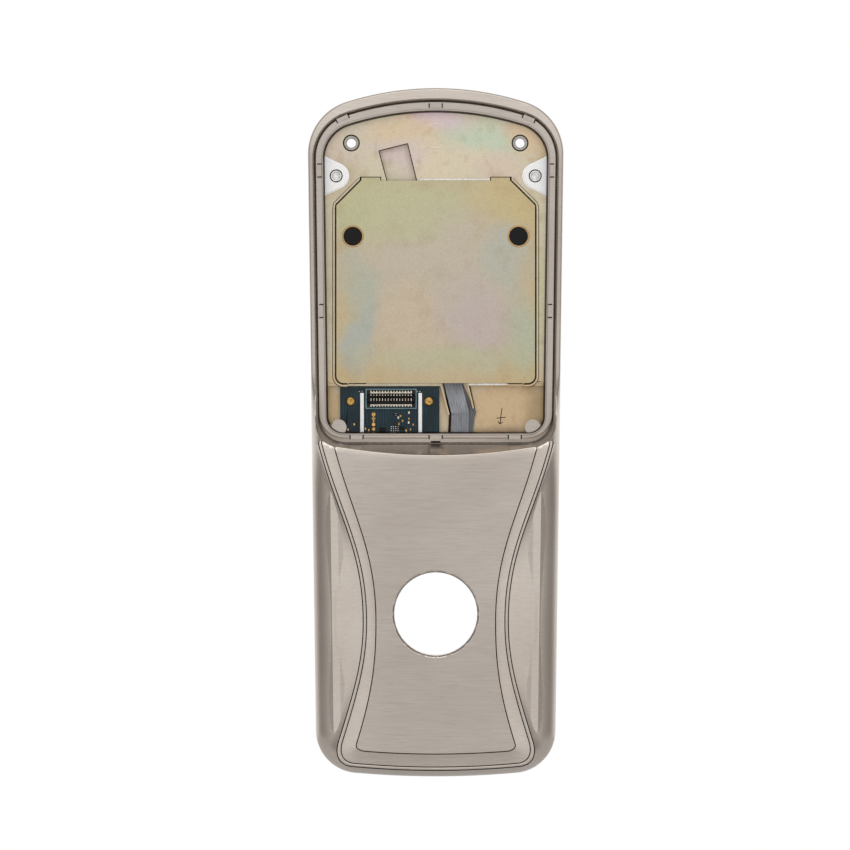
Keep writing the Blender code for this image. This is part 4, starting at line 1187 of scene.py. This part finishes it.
cover_chromate = yellow_chromate("yellow chromate on the cover", "C1AE86", (
    (0.0, 0.119, 0.050, 0.052, "C0B6A4", 1.0), (-0.010, 0.146, 0.036, 0.016, "BDBB98", 0.8),
    (0.024, 0.147, 0.022, 0.012, "C6B68A", 0.7), (-0.027, 0.110, 0.009, 0.032, "AEB4A6", 0.7),
    (-0.026, 0.096, 0.007, 0.018, "A9B0AE", 0.55), (0.016, 0.104, 0.018, 0.022, "BDAEB0", 0.55),
    (0.028, 0.128, 0.012, 0.020, "B4B6AA", 0.8), (0.030, 0.097, 0.009, 0.022, "B2B8A2", 0.8),
    (-0.008, 0.104, 0.018, 0.020, "C8B69E", 0.7), (0.004, 0.090, 0.040, 0.008, "B9BA9A", 0.55),
    (-0.027, 0.138, 0.010, 0.012, "B9BB96", 0.6)), 0.009, 0.25)
edge_chromate = yellow_chromate("yellow chromate, thick at the holes", "C9A676", (), 0.009, 0.25)
zinc = bright_zinc()
brass = plain_brass()
gold = plain_brass("gold flashed copper", "B8863F", "E6BE7A")
tin = plain_brass("tinned copper", "B9A98E", "EDE6D8")
# this pale steel is also the painted highlight along the plate's edges
pin_steel_and_highlight = plain_brass("bright zinc, on the ear pins", "CFCDC8", "ECEBE8")
nylon = white_nylon()
rubber = black_rubber()
gasket_foam = black_rubber("black foam gasket", "121212", "242425")
# black nylon also serves as the painted shade in the plate's black lines and blocks
black_nylon_and_shade = black_rubber("black nylon, moulded, and painted shade", "0C0C0D", "1C1A19")
lacquer = board_lacquer()
board_ink = plain_ink()
vinyl = ribbon_vinyl("PVC ribbon insulation, grey", "84868B", "A2A4AA")
# painted shade: a darker grey for the ribbon's under layer
shaded_vinyl = ribbon_vinyl("PVC ribbon insulation, painted shade", "5E6064", "75777C")

build_housing(nickel, groove_shade_nickel, shade_nickel)
softened("mounting_plate", plate_chromate_and_shade, "escutcheon", "yellow_chromate", 0.00015)
softened("cable_cover", cover_chromate, "lift_off_cover", "yellow_chromate", 0.0002)
for side in ("left", "right"):
    softened("cover_plug_" + side, rubber, "lift_off_cover", "black_rubber", 0.00015)
    for name, material, slot, width in (("keypad_ear_", nylon, "white_nylon", 0.00015),
                                        ("ear_pin_", pin_steel_and_highlight, "zinc_steel", 0.0001),
                                        ("clinch_nut_", zinc, "zinc_steel", 0.0001),
                                        ("bolt_post_", zinc, "zinc_steel", 0.0002),
                                        ("board_standoff_", zinc, "zinc_steel", 0.0001),
                                        ("board_screw_", brass, "brass", 0.0001),
                                        ("board_rail_", nylon, "white_nylon", 0.0001)):
        softened(name + side, material, "escutcheon", slot, width)
for number in range(1, 5):
    softened("plate_screw_%d" % number, zinc, "escutcheon", "zinc_steel", 0.0001)
for name, material, slot, width in (("door_gasket", gasket_foam, "black_rubber", 0.0003),
                                    ("controller_board", lacquer, "teal_board", 0.00008),
                                    ("header_shroud", board_ink, "teal_board", 0.00006),
                                    ("header_contacts_upper", tin, "tinned_copper", 0.00005),
                                    ("header_contacts_lower", tin, "tinned_copper", 0.00005),
                                    ("controller_chip", black_nylon_and_shade, "black_plastic", 0.0001),
                                    ("ribbon_socket", black_nylon_and_shade, "black_plastic", 0.0002)):
    softened(name, material, "escutcheon", slot, width)
build_header(black_nylon_and_shade)
build_ribbon(vinyl)
build_board_parts(gold, tin, black_nylon_and_shade)
build_plate_marks(plate_chromate_and_shade)
build_edge_highlights(pin_steel_and_highlight)
build_painted_shade(black_nylon_and_shade)
build_ribbon_fold(shaded_vinyl)
build_plug_rings(edge_chromate)
build_screw_heads(brass)
build_studio()
build_floor()
build_camera()
